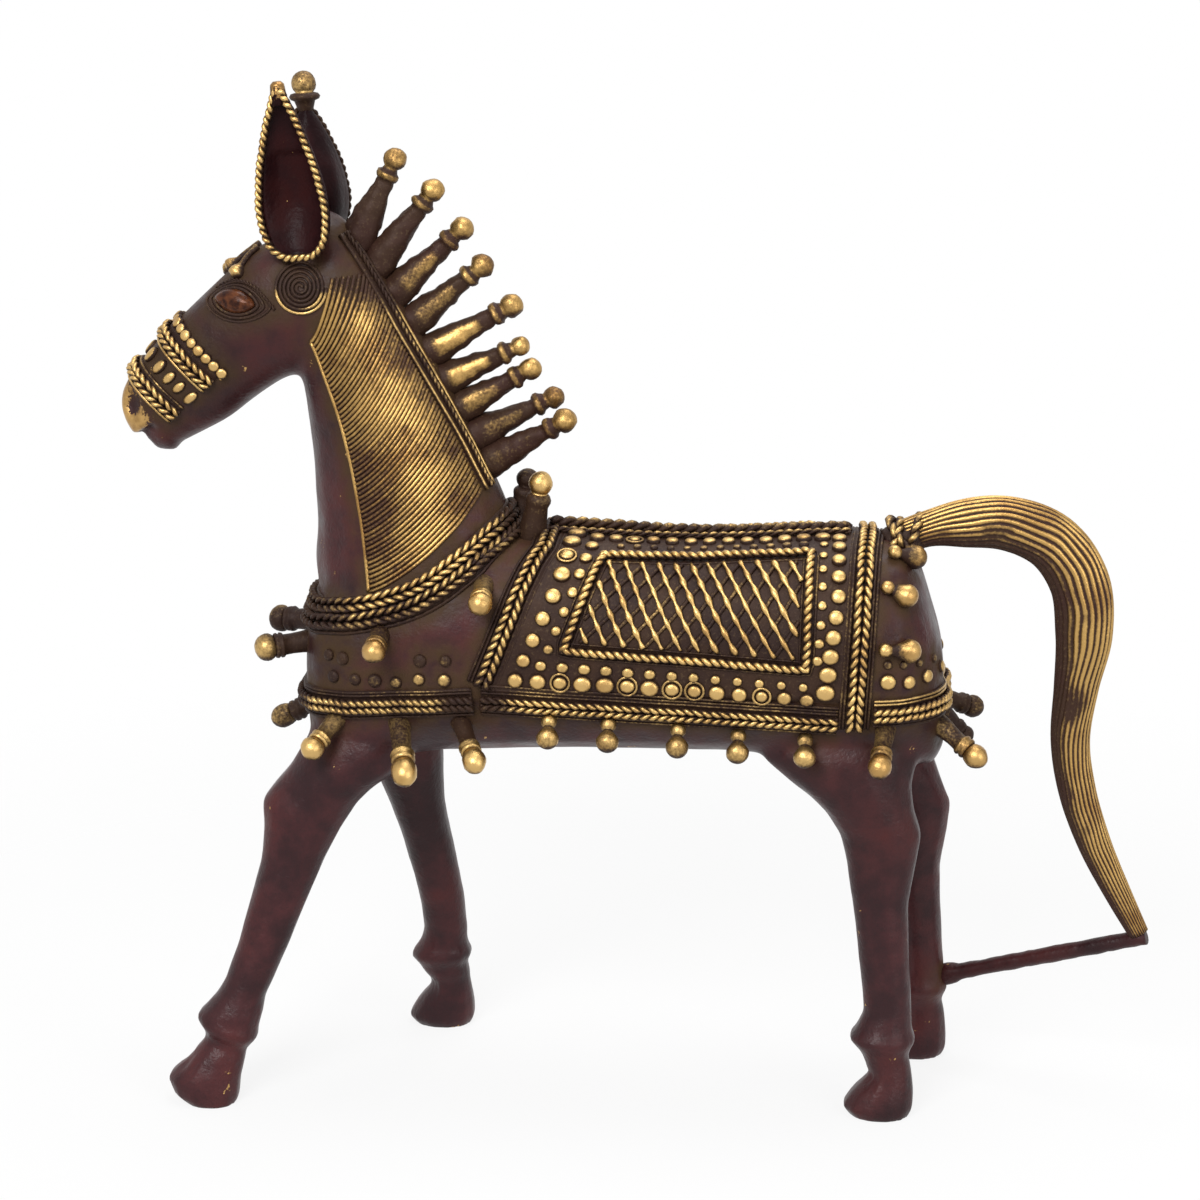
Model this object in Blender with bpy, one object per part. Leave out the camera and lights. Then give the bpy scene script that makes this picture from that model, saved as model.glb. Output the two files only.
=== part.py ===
"""A walking brass horse in the lost-wax thread style, built up as its maker builds it in wax.

A clay core carries the barrel of the body. Neck, head, legs and tail are joined to it, and braided bands,
a studded saddle cloth, wire windings, spikes and bell pegs are laid on one by one before the single pour.
Metres, +Z up, the head towards -X, the horse's left side towards -Y, the hooves on Z = 0.
"""

from math import atan2, cos, degrees, pi, radians, sin

import bmesh
import bpy
import numpy as np
from mathutils import Vector
from mathutils.bvhtree import BVHTree

MM = 0.001

# Fits and walls
SEAT_GAP = 0.3 * MM
CASTING_WALL = 4.0 * MM
CORE_GAP = 0.4 * MM
VENT_RADIUS = 6.0 * MM
SKIN_DEPTH = 2.0 * MM
STRAP_LIFT = 0.5 * MM
RAY_REACH = 0.2

# Barrel of the body: x, centre height, half width, half height (mm)
TORSO_STATIONS = (
    (-82.4, 107, 6, 8),
    (-81.4, 107, 13, 16),
    (-78, 108, 18.5, 21),
    (-69, 111, 23.5, 25.5),
    (-48, 115.5, 26, 27.5),
    (-20, 116, 26, 26.6),
    (15, 115.6, 25.5, 25.9),
    (50, 116.6, 26, 27),
    (65, 115.6, 23.5, 27.6),
    (69.5, 112, 20.3, 25),
    (73.8, 105, 15.8, 18.6),
    (76.9, 102, 9.2, 11),
    (77.8, 101.5, 4, 5),
)
TORSO_SQUARENESS = 2.6
TORSO_SIDES = 18
TORSO_STEP = 24.0
CORE_STEP = 60.0
TORSO_MID_X = -3.0
TRUNK_AXIS_Z = 116.0

# Neck, head and tail run in the mid plane: x, z, half width, half depth (mm)
NECK_STATIONS = (
    (-53, 128, 22, 27.6),
    (-57, 148, 18.5, 23.6),
    (-62.5, 170, 15.5, 19.2),
    (-69.6, 191, 13.2, 15),
    (-75, 207, 11.5, 10.6),
    (-79, 218, 8.5, 7),
    (-80.3, 221.5, 4, 3.5),
)
HEAD_STATIONS = (
    (-73, 208, 8, 9),
    (-79, 204, 12, 15),
    (-86, 199, 12.5, 16.3),
    (-96, 192.7, 11.5, 14.3),
    (-106.2, 184.9, 10.2, 12.9),
    (-112.6, 179.4, 9.4, 12),
    (-119.1, 173.5, 8.7, 10.6),
    (-123.1, 170.3, 7.6, 8.9),
    (-125.8, 168.9, 5.6, 6.4),
    (-126.8, 168.4, 2.5, 2.7),
)
MOUTH_LINE = (-121.5, 166.8, 35.0)
MOUTH_SIZE = (17, 30, 1.5)
TAIL_STATIONS = (
    (66, 143.5, 3.6, 4.2),
    (72, 145.6, 3.9, 4.6),
    (80, 147, 4.8, 6),
    (91, 147.2, 5.6, 6.8),
    (102.4, 142.5, 6, 7.3),
    (109, 133, 6, 7.4),
    (110.7, 120, 5.8, 7.1),
    (109.3, 106, 5, 5.6),
    (108.3, 92, 4.6, 4.9),
    (110.5, 79, 4.4, 4.7),
    (115.2, 65.5, 4, 4.2),
    (121.5, 52.5, 3.2, 3.4),
    (127.2, 41.8, 2.2, 2.6),
)
TAIL_SIDES = 12
TAIL_FLUTE = 0.07
TAIL_RING_OUT = 3.5
TAIL_RING_PROFILE = ((-4, 5.6), (-1.8, 7.4), (0.4, 5.9), (2.4, 7), (4.4, 5.6))

# Legs: height, front edge x, back edge x, half width (mm), from inside the body down to the pastern
FRONT_LEFT_UPPER = (
    (106, -74, -52, 6),
    (98, -79, -52, 7.2),
    (91, -82.5, -54, 9.6),
    (85, -86, -58, 9.8),
    (80.5, -90, -65, 9.4),
    (76.5, -93, -69, 8.6),
    (70, -92.4, -73.2, 7.6),
    (62, -93, -77.4, 6.6),
    (50, -96.2, -82.6, 6.1),
    (31, -102, -90.4, 5.6),
)
FRONT_RIGHT_UPPER = (
    (106, -74, -52, 6),
    (98, -78, -50, 7.2),
    (86, -73.4, -51.6, 8.8),
    (66, -65.6, -52, 7.2),
    (55, -62.6, -50.4, 6.4),
    (46, -60.6, -48.9, 6.1),
    (29, -58.2, -47.4, 5.6),
)
HIND_UPPER = (
    (106, 44, 67, 6),
    (98, 35, 69.5, 7.2),
    (91, 32, 70.5, 10),
    (84, 39.4, 69, 10.2),
    (77, 47.8, 69.8, 9),
    (71.5, 51.6, 71.6, 7.8),
    (64, 53.6, 70.4, 7),
    (53.5, 55.3, 68.6, 6.4),
    (31, 58.2, 69.8, 5.7),
)
HIND_RIGHT_SHIFT = 8.4
# Fetlock and hoof: height, reach to the toe, reach to the heel, half width (mm)
FOOT_STATIONS = (
    (26, 6.6, 4.8, 5.8),
    (20, 9.2, 5.2, 6.9),
    (16.6, 7.4, 5.4, 6.5),
    (13.8, 6.1, 5.2, 5.4),
    (10, 6.1, 5.8, 5.8),
    (6, 8.7, 6.4, 6.7),
    (2.3, 10.8, 6.5, 7.3),
    (0, 8.8, 5.6, 6.4),
)
# The striding left fore hoof lands on its heel, with the toe off the ground
STRIDING_FOOT = (
    (27, 5.8, 6.3, 5.8),
    (22.5, 8.5, 6.8, 6.9),
    (18.7, 6.2, 7.1, 6.4),
    (15, 5.1, 6.8, 5.4),
    (10.4, 9.4, 6.7, 6.2),
    (6.2, 10.8, 7.2, 7.2),
    (2.5, 7.8, 8.2, 7.2),
    (0, 3, 8.6, 6.2),
)
# Pastern x, sole x, hip y and sole y of each leg (mm)
PASTERN_HEIGHT = 26.0
LEG_PLACES = {
    "front_left_leg": (-98.7, -108, -12, -28),
    "front_right_leg": (-52.3, -52.8, 12, 32),
    "hind_left_leg": (65.2, 64.4, -12.5, -21.5),
    "hind_right_leg": (73.8, 73.4, 12.5, 20.5),
}
LEG_SIDES = 12

# Mane spikes: first and last root, and every tip, as x and z (mm) from the poll down to the withers
MANE_ROOTS = ((-68.0, 217.6), (-37.0, 160.4))
MANE_ROOT_BOW = 0.02
MANE_TIPS = (
    (-59.5, 234.8),
    (-51.2, 227.6),
    (-43.7, 218.4),
    (-38.4, 209.2),
    (-31.3, 199.4),
    (-29.2, 189.5),
    (-26.7, 183.8),
    (-21.3, 176.2),
    (-17.9, 171.7),
)
SPIKE_PAIR_SPREAD = 3.4
# Distance back from the tip ball's centre, radius (mm)
SPIKE_HEAD = ((5.2, 1.9), (4, 3.1), (2.6, 2.2), (-0.3, 3.2), (-2.8, 1.5))
SPIKE_ROOT_RADIUS = 3.85
SPIKE_ROOT_DEPTH = 4.0
SPIKE_SIDES = 7

# Bell pegs: distance out of the casting, radius (mm)
PEG_PROFILE = ((-4, 2.6), (6.2, 2.2), (7, 3), (8.3, 2.2), (10.6, 3.1), (13, 1.5))
WITHERS_PEG_PROFILE = ((1.2, 3.5), (7.4, 3), (8.2, 3.2), (9.6, 2.3), (12.2, 3.2), (14.8, 1.5))
DROP_PROFILE = ((-1.8, 1.6), (0.2, 2.2), (2.2, 1.5), (5.6, 3.1), (8.6, 1.3))
PEG_SIDES = 7
DROP_SIDES = 5
# Root and direction of the pegs on the horse's left, and how far the right one's root is off its mirror (mm)
COLLAR_PEGS = {
    "chest": ((-82, -8, 115.5), (-0.9, -0.36, -0.08), (0, -3, 2.2)),
    "shoulder": ((-61, -22, 121.3), (0.0, -0.97, -0.14), (0, 0, 0)),
    "withers_side": ((-36, -22, 133.5), (0.04, -0.98, -0.14), (0, 0, 0)),
}
WITHERS_PEGS = {"withers": ((-25.2, -4.8, 147), (0.2, -0.1, 0.97), (-3.9, 0, -3.5))}
# Root, direction and stretch of the pegs under the end bands
BREAST_PEGS = (
    ((-73, -20, 99), (-0.46, -0.72, -0.52), 1.0),
    ((-57, -24, 98), (0.18, -0.8, -0.57), 1.2),
    ((-41.5, -24, 99), (0.34, -0.8, -0.5), 1.2),
)
BREAST_FRONT_PEG = ((-79, 11, 96.4), (-0.9, 0.1, -0.46), 1.4)
RUMP_FLANK_PEG = ((62.5, -24, 98.5), (-0.1, -0.85, -0.5), 1.12)
RUMP_BACK_PEGS = (
    ((75, -11, 98.5), (0.72, -0.43, -0.52), 1.12),
    ((76.5, 3.5, 98), (0.6, 0.2, -0.77), 0.85),
    ((75, 11, 99.8), (0.76, 0.4, -0.34), 1.0),
)
BELLY_DROPS_X = (-20.5, -5.5, 11.5, 26.5, 43)
BELLY_DROP_WAY = (0.0, -0.76, -0.65)
# Where each rump drop starts and where it points, as x and z on the flank (mm)
RUMP_DROPS = (
    ((61.2, 140.5), (67.6, 136.5)),
    ((60.4, 134.5), (67, 132.5)),
    ((59.2, 120.5), (66.6, 119.8)),
)
RUMP_DROP_LIFT = 1.2

# Bands, borders and ropes
BAND_WIDTH = 7.6
BAND_THICKNESS = 1.8
# An end band's x and height where it starts on the flank, where it starts to turn, and its height at the end
BREAST_BAND = ((-38.5, 104.8), (-58.0, 103.4), 101.2)
RUMP_BAND = ((59.2, 103.0), (60.0, 103.1), 104.2)
HEM_RUN = ((-36.5, 104.9), (50.5, 101.0))
# A border's turns from straight up (degrees) and its x at each of them
FRONT_BORDER = ((0, 26, 103), (-21.2, -21.8, -36.2))
REAR_BORDER = ((0, 124), (57.2, 54.4))
BORDER_WIDTH = 7.0
BORDER_THICKNESS = 1.7
ROPE_RADIUS = 1.2
COLLAR_CENTRE = (-55.5, 0, 135.5)
COLLAR_TILT = 24.0
COLLAR_SAG = 5.5
COLLAR_WIDTH = 8.4
COLLAR_THICKNESS = 2.2
COLLAR_STEPS = 22

# Saddle cloth with its lattice panels
CLOTH_HANG = (9.0, 14.0)
CLOTH_COLUMNS = 7
CLOTH_THICKNESS = 1.0
CLOTH_LIFT = 0.6
PANEL_TOP = ((-7.2, 138.6), (43.5, 139.6))
PANEL_BOTTOM = ((-16.2, 119.2), (42.8, 115.9))
LATTICE_THREADS = 12
LATTICE_BEADS = 5
LATTICE_SLANT = 0.42
LATTICE_FOOT_LIFT = 0.7
LATTICE_WEB_LIFT = 1.2
LATTICE_THREAD_LIFT = 1.8
LATTICE_BEAD_SWELL = 0.5
STUD_RADIUS = 1.6
STUD_HEIGHT = 1.2
STUD_SIDES = 5
STUD_COUNTS = (11, 9, 4)

# Neck windings and mane edging; the edging's run gives the part of the neck and the angle off the crest
WINDING_WIRES = 12
WINDING_STEPS = 5
WINDING_THROAT = (0.06, 0.7)
WINDING_CREST = (0.235, 0.84)
WIRE_LIFT = (0.9, 1.7)
EDGING_RUN = ((0.24, 15.5), (0.35, 18.7), (0.5, 25.5), (0.65, 29.8), (0.8, 32.5), (0.93, 36.0))
WINDING_MARGIN = 14.0
EDGING_WIDTH = 4.4
EDGING_THICKNESS = 1.8

# Ears, eyes, cheek spirals and nose bands
EAR_BASE = (-81.2, -12.5, 212)
EAR_TIP = (-84.9, -14, 253.2)
EAR_HALF_WIDTH = 9.0
EAR_CUP = 5.0
EAR_WALL = 2.2
EAR_FACING = (-0.32, -0.94, 0.0)
EAR_ROPE_STEPS = 28
RIGHT_EAR_SHIFT = ((-0.4, 0, 0), (1.1, 0, -6.3))
EAR_KNOB_PROFILE = ((0.9, 3.0), (1.7, 4.0), (2.8, 2.7), (5, 3.4), (7.4, 1.6))
EYE_PLACE = (-96.6, 201.4)
EYE_HALF_SIZE = (6.6, 3.6)
SPIRAL_PLACE = (-80.8, 203.6)
SPIRAL_TURNS = 3
SPIRAL_STEPS = 10
SPIRAL_RADII = (0.9, 6.2)
NOSE_BANDS = {"upper_noseband": (-109.5, 184.0, 8.4), "lower_noseband": (-118.0, 176.0, 5.6)}
NOSE_BAND_SWEEP = 118.0
NOSE_BAND_THICKNESS = 1.8
HEAD_WAY = (-0.79, -0.61)

DARK_PATINA = (0.06, 0.028, 0.022)
RUBBED_BRASS = (0.55, 0.36, 0.12)
BAKED_CLAY = (0.3, 0.17, 0.1)


# Scene and finishes

for leftover in list(bpy.data.objects):
    bpy.data.objects.remove(leftover)

FIGURE = bpy.data.objects.new("horse_figurine", None)
bpy.context.scene.collection.objects.link(FIGURE)


def finish(name, colour, roughness, metallic):
    material = bpy.data.materials.new(name)
    material.use_nodes = True
    shader = material.node_tree.nodes["Principled BSDF"]
    shader.inputs["Base Color"].default_value = (*colour, 1.0)
    shader.inputs["Roughness"].default_value = roughness
    shader.inputs["Metallic"].default_value = metallic
    return material


PATINA = finish("dark_patina", DARK_PATINA, 0.42, 0.7)
BRASS = finish("rubbed_brass", RUBBED_BRASS, 0.33, 1.0)
CLAY = finish("baked_clay", BAKED_CLAY, 0.9, 0.0)


# Mesh helpers


def mm(*values):
    return np.array(values, float) * MM


def unit(vector):
    vector = np.asarray(vector, float)
    return vector / np.linalg.norm(vector, axis=-1, keepdims=True)


def mirrored(point):
    """The same place on the horse's other side."""
    return (point[0], -point[1], point[2])


def smooth(knots, rows, at):
    """Rows read between the knots on a cubic that never overshoots them."""
    knots, rows, at = (np.asarray(v, float) for v in (knots, rows, at))
    step = np.diff(knots)[:, None]
    secant = np.diff(rows, axis=0) / step
    product = secant[:-1] * secant[1:]
    total = np.where(product > 0, secant[:-1] + secant[1:], 1.0)
    inner = np.where(product > 0, 2 * product / total, 0.0)
    slope = np.vstack([secant[:1], inner, secant[-1:]])
    i = np.clip(np.searchsorted(knots, at) - 1, 0, len(knots) - 2)
    h = step[i]
    t = (at[:, None] - knots[i][:, None]) / h
    start = (1 + 2 * t) * (1 - t) ** 2 * rows[i] + t * (1 - t) ** 2 * h * slope[i]
    end = t * t * (3 - 2 * t) * rows[i + 1] + t * t * (t - 1) * h * slope[i + 1]
    return start + end


def between(rows, longest):
    """Station rows with smooth in-between rows wherever two are further apart than longest (mm)."""
    rows = np.array(rows, float)
    knots = np.r_[0, np.cumsum(np.linalg.norm(np.diff(rows[:, :2], axis=0), axis=1))]
    at = [0.0]
    for low, high in zip(knots, knots[1:]):
        parts = int(np.ceil((high - low) / longest))
        at += list(np.linspace(low, high, parts + 1)[1:])
    return smooth(knots, rows, np.array(at))


def oval(centre, across, up, half_width, half_height, sides, squareness=2.0):
    """One ring of a loft: a superellipse in the plane of across and up."""
    angle = 2 * pi * (np.arange(sides) + 0.5) / sides
    c, s = np.cos(angle), np.sin(angle)
    wide = np.sign(c) * np.abs(c) ** (2 / squareness) * half_width
    high = np.sign(s) * np.abs(s) ** (2 / squareness) * half_height
    return centre + np.outer(wide, across) + np.outer(high, up)


def add_loft(shape, rings, closed=False):
    """Skins rings of equal count; a closed loft runs back into its first ring, an open one is capped."""
    loops = [[shape.verts.new(point) for point in ring] for ring in rings]
    pairs = list(zip(loops, loops[1:]))
    if closed:
        pairs.append((loops[-1], loops[0]))
    else:
        shape.faces.new(loops[0])
        shape.faces.new(loops[-1])
    for low, high in pairs:
        for k in range(len(low)):
            n = (k + 1) % len(low)
            shape.faces.new((low[k], low[n], high[n], high[k]))


def add_turned(shape, root, way, profile, sides):
    """A turned pin: (distance, radius) steps along a direction from its root."""
    way = Vector(way).normalized()
    across = way.orthogonal().normalized()
    up = way.cross(across)
    root = np.array(root, float)
    rings = [oval(root + np.array(way) * d, across, up, r, r, sides) for d, r in profile]
    add_loft(shape, rings)


def add_patch(shape, grid, inward):
    """A relief panel: a grid of outer points, its edge turned in along inward and closed behind."""
    rows, columns = grid.shape[:2]
    outer = [[shape.verts.new(grid[i, j]) for j in range(columns)] for i in range(rows)]
    for i in range(rows - 1):
        for j in range(columns - 1):
            shape.faces.new((outer[i][j], outer[i][j + 1], outer[i + 1][j + 1], outer[i + 1][j]))
    edge = [(0, j) for j in range(columns)]
    edge += [(i, columns - 1) for i in range(1, rows)]
    edge += [(rows - 1, j) for j in range(columns - 2, -1, -1)]
    edge += [(i, 0) for i in range(rows - 2, 0, -1)]
    rim = [shape.verts.new(grid[i, j] + inward[i, j]) for i, j in edge]
    for k, (i, j) in enumerate(edge):
        n = (k + 1) % len(edge)
        shape.faces.new((outer[i][j], outer[edge[n][0]][edge[n][1]], rim[n], rim[k]))
    shape.faces.new(rim)


def piece(name, shape, material):
    """Turns a bmesh into one named, outward-facing, smooth-shaded object of the figure."""
    bmesh.ops.recalc_face_normals(shape, faces=shape.faces)
    mesh = bpy.data.meshes.new(name)
    shape.to_mesh(mesh)
    shape.free()
    mesh.materials.append(material)
    mesh.shade_smooth()
    mesh.set_sharp_from_angle(angle=radians(45))
    obj = bpy.data.objects.new(name, mesh)
    bpy.context.scene.collection.objects.link(obj)
    obj.parent = FIGURE
    return obj


def helper(obj):
    """Marks an object as a cutter or a joined-on shape that isn't a piece of its own."""
    obj.hide_render = True
    obj.display_type = "WIRE"
    return obj


def clearance_of(obj):
    """The piece's own shape grown by the seat gap, to cut what sits on it."""
    grown = bpy.data.objects.new(obj.name + "_clearance", obj.data.copy())
    bpy.context.scene.collection.objects.link(grown)
    grown.parent = FIGURE
    gap = grown.modifiers.new("seat_gap", "DISPLACE")
    gap.strength = SEAT_GAP
    gap.mid_level = 0.0
    return helper(grown)


def join_on(obj, other):
    union = obj.modifiers.new("join_" + other.name, "BOOLEAN")
    union.operation = "UNION"
    union.object = helper(other)


def seat(obj, *cutters):
    """Cuts a piece where it would enter the ones it sits on."""
    for cutter in cutters:
        cut = obj.modifiers.new("seat_on_" + cutter.name, "BOOLEAN")
        cut.operation = "DIFFERENCE"
        cut.object = cutter


def surface_of(*objects):
    """A ray-cast tree over the given pieces, as first modelled."""
    points, faces = [], []
    for obj in objects:
        first = len(points)
        points += [v.co for v in obj.data.vertices]
        faces += [[first + i for i in p.vertices] for p in obj.data.polygons]
    return BVHTree.FromPolygons(points, faces)


def drape(tree, targets, ways):
    """Outermost surface points and normals, found by looking in at each target along its way."""
    points, normals = [], []
    for target, way in zip(targets, ways):
        way = Vector(way).normalized()
        hit, normal, _, _ = tree.ray_cast(Vector(target) + way * RAY_REACH, -way)
        points.append(hit)
        normals.append(normal)
    return np.array(points, float), np.array(normals, float)


def settle(normals, closed, rounds=3):
    """Normals evened out along a path, so that a band laid on facets doesn't twist."""
    for _ in range(rounds):
        if closed:
            normals = np.roll(normals, 1, 0) + 2 * normals + np.roll(normals, -1, 0)
        else:
            padded = np.vstack([normals[:1], normals, normals[-1:]])
            normals = padded[:-2] + 2 * normals + padded[2:]
        normals = unit(normals)
    return normals


def path_frame(points, normals, closed):
    """Directions across a band and out of it at each point of its path."""
    if closed:
        along = np.roll(points, -1, 0) - np.roll(points, 1, 0)
    else:
        along = np.gradient(points, axis=0)
    out = settle(normals, closed)
    across = unit(np.cross(out, unit(along)))
    return across, out


def add_strap(shape, points, normals, width, thickness, closed=False, rows=2, foot=STRAP_LIFT):
    """A band with plaited rows standing proud of its edges, swept along surface points."""
    across, out = path_frame(points, normals, closed)
    ridges = np.linspace(-0.5, 0.5, 2 * rows + 1) * width
    relief = np.where(np.arange(2 * rows + 1) % 2 == 1, thickness, 0.6 * thickness)
    profile = list(zip(ridges, relief)) + [(0.5 * width, foot), (-0.5 * width, foot)]
    rings = [[p + a * w + o * h for w, h in profile] for p, a, o in zip(points, across, out)]
    add_loft(shape, rings, closed)


def add_rope(shape, points, normals, radius, closed=False, sides=4, step_turn=40.0):
    """A two-strand rope: an oval section that turns as it runs along the path."""
    across, out = path_frame(points, normals, closed)
    rings = []
    for k, (point, a, o) in enumerate(zip(points, across, out)):
        angle = 2 * pi * np.arange(sides) / sides
        bulge = radius * (1 + 0.22 * np.cos(2 * (angle - radians(step_turn) * k)))
        rings.append(point + np.outer(bulge * np.cos(angle), a) + np.outer(bulge * np.sin(angle), o))
    add_loft(shape, rings, closed)


# Barrel of the body, round its clay core


def torso_rings(shrink, longest, sides):
    """Rings across the barrel, drawn in on all sides by shrink."""
    rows = between(TORSO_STATIONS, longest)
    rows[:, 0] = TORSO_MID_X + (rows[:, 0] - TORSO_MID_X) * (1 - shrink / (82 * MM))
    rows[:, 2:] = np.maximum(rows[:, 2:] - shrink / MM, 1.5)
    ups = (np.array((0, 1, 0)), np.array((0, 0, 1)))
    return [oval(mm(x, 0, z), *ups, w * MM, h * MM, sides, TORSO_SQUARENESS) for x, z, w, h in rows]


def add_vent(shape, radius, low, high):
    profile = ((low, radius), (high, radius))
    add_turned(shape, mm(0, 0, 0), (0, 0, 1), profile, 12)


def build_torso():
    shape = bmesh.new()
    add_loft(shape, torso_rings(0, TORSO_STEP, TORSO_SIDES))
    torso = piece("torso", shape, PATINA)
    solid = clearance_of(torso)

    shape = bmesh.new()
    add_loft(shape, torso_rings(CASTING_WALL, CORE_STEP, 10))
    cavity = helper(piece("core_cavity", shape, CLAY))
    shape = bmesh.new()
    add_vent(shape, VENT_RADIUS, 80 * MM, 110 * MM)
    vent = helper(piece("belly_vent", shape, CLAY))
    seat(torso, cavity, vent)

    shape = bmesh.new()
    add_loft(shape, torso_rings(CASTING_WALL + CORE_GAP, CORE_STEP, 10))
    core = piece("clay_core", shape, CLAY)
    shape = bmesh.new()
    add_vent(shape, VENT_RADIUS - CORE_GAP, 91.5 * MM, 110 * MM)
    join_on(core, piece("vent_plug", shape, CLAY))
    return torso, solid


# Neck, head and tail along the mid plane


def spine_frame(stations, longest):
    """Centres, in-plane normals and half sizes along a mid-plane member."""
    rows = between(stations, longest)
    centres = np.column_stack([rows[:, 0], np.zeros(len(rows)), rows[:, 1]]) * MM
    along = unit(np.gradient(centres, axis=0))
    crest = np.column_stack([along[:, 2], np.zeros(len(rows)), -along[:, 0]])
    return centres, crest, rows[:, 2:] * MM


def mid_plane_rings(stations, longest, sides, squareness=2.0):
    side = np.array((0, 1, 0))
    centres, crest, halves = spine_frame(stations, longest)
    return [oval(c, side, n, w, d, sides, squareness) for c, n, (w, d) in zip(centres, crest, halves)]


def build_neck(torso_solid):
    shape = bmesh.new()
    add_loft(shape, mid_plane_rings(NECK_STATIONS, 12, 16))
    neck = piece("neck", shape, PATINA)
    solid = clearance_of(neck)
    seat(neck, torso_solid)
    return neck, solid


def build_head(neck_solid):
    shape = bmesh.new()
    add_loft(shape, mid_plane_rings(HEAD_STATIONS, 9, 14, 2.2))
    head = piece("head", shape, PATINA)
    solid = clearance_of(head)

    x, z, slope = MOUTH_LINE
    shape = bmesh.new()
    bmesh.ops.create_cube(shape, size=1.0)
    mouth = piece("mouth_cutter", shape, PATINA)
    mouth.scale = mm(*MOUTH_SIZE)
    mouth.location = mm(x - MOUTH_SIZE[0] / 4, 0, z)
    mouth.rotation_euler = (0, radians(-slope), 0)
    seat(head, neck_solid, helper(mouth))
    return head, solid


def build_tail(torso_solid):
    """The tail's locks are flutes along its whole length."""
    side = np.array((0, 1, 0))
    centres, crest, halves = spine_frame(TAIL_STATIONS, 10)
    flute = 1 + TAIL_FLUTE * np.where(np.arange(TAIL_SIDES) % 2 == 0, 1, -1)
    rings = []
    for c, n, (w, d) in zip(centres, crest, halves):
        rings.append(c + (oval(c, side, n, w, d, TAIL_SIDES) - c) * flute[:, None])
    shape = bmesh.new()
    add_loft(shape, rings)
    tail = piece("tail", shape, BRASS)
    solid = clearance_of(tail)
    seat(tail, torso_solid)

    shape = bmesh.new()
    way = unit(centres[1] - centres[0])
    add_turned(shape, centres[0] + way * TAIL_RING_OUT * MM, way, np.array(TAIL_RING_PROFILE) * MM, 9)
    seat(piece("tail_ring", shape, PATINA), torso_solid, solid)
    return solid, centres[-1]


# Legs


def build_leg(name, upper, foot, shift, torso_solid):
    """A leg from inside the barrel down to a flat sole on the ground."""
    pastern_x, sole_x, hip_y, sole_y = LEG_PLACES[name]
    rows = []
    for z, front, back, w in upper:
        stride = shift * np.interp(z, (75, 100), (1, 0))
        rows.append((z, front + stride, back + stride, w))
    for z, toe, heel, w in foot:
        x = np.interp(z, (0, PASTERN_HEIGHT), (sole_x, pastern_x))
        rows.append((z, x - toe, x + heel, w))
    rings = []
    for z, front, back, w in between(rows, 16):
        y = np.interp(z, (0, 95), (sole_y, hip_y))
        centre = mm((front + back) / 2, y, z)
        rings.append(oval(centre, (1, 0, 0), (0, 1, 0), (back - front) / 2 * MM, w * MM, LEG_SIDES, 2.2))
    shape = bmesh.new()
    add_loft(shape, rings)
    leg = piece(name, shape, PATINA)
    solid = clearance_of(leg)
    seat(leg, torso_solid)
    return solid


def build_brace(tail_tip, tail_solid, leg_solid):
    """The straight runner that ties the tail's tip to the right hind leg."""
    start = tail_tip + mm(0.4, 0, -1.2)
    end = mm(76.5, 19, 21.5)
    reach = float(np.linalg.norm(end - start))
    profile = ((-1.2 * MM, 1.6 * MM), (0, 2.3 * MM), (reach * 0.5, 2.0 * MM), (reach - 9 * MM, 2.1 * MM))
    profile += ((reach - 6 * MM, 3.0 * MM), (reach, 3.3 * MM))
    shape = bmesh.new()
    add_turned(shape, start, end - start, profile, 9)
    seat(piece("tail_brace", shape, PATINA), tail_solid, leg_solid)


# Mane, windings and the head's ornaments


def build_mane(neck_solid, edgings):
    first, last = (mm(x, 0, z) for x, z in MANE_ROOTS)
    for k, (tip_x, tip_z) in enumerate(MANE_TIPS):
        pair_side = {7: 1, 8: -1}.get(k, 0) * SPIKE_PAIR_SPREAD
        part = k / (len(MANE_TIPS) - 1)
        root = first + (last - first) * (part + MANE_ROOT_BOW * sin(pi * part))
        tip = mm(tip_x, pair_side, tip_z)
        reach = float(np.linalg.norm(tip - root))
        thick = SPIKE_ROOT_RADIUS * MM
        body = [(-SPIKE_ROOT_DEPTH * MM, 0.85 * thick), (0.2 * reach, 0.96 * thick)]
        body += [(reach - back * MM, r * MM) for back, r in SPIKE_HEAD]
        shape = bmesh.new()
        add_turned(shape, root, tip - root, body, SPIKE_SIDES)
        seat(piece(f"mane_spike_{k + 1}", shape, BRASS), neck_solid, *edgings)


def neck_station(part):
    """Centre of the neck and the direction to its crest, part of the way from the body to the poll."""
    centres, crest, _ = spine_frame(NECK_STATIONS, 2)
    run = np.r_[0, np.cumsum(np.linalg.norm(np.diff(centres, axis=0), axis=1))]
    at = [np.interp(part * run[-1], run, centres[:, k]) for k in range(3)]
    up = [np.interp(part * run[-1], run, crest[:, k]) for k in range(3)]
    return np.array(at), unit(up)


def neck_hit(tree, part, angle, side):
    """A point of the neck's skin: angle 0 at the crest, 90 at its side, 180 at the throat."""
    at, up = neck_station(part)
    way = cos(radians(angle)) * up + sin(radians(angle)) * np.array((0.0, side, 0.0))
    points, normals = drape(tree, [at], [way])
    return points[0], normals[0]


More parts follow.
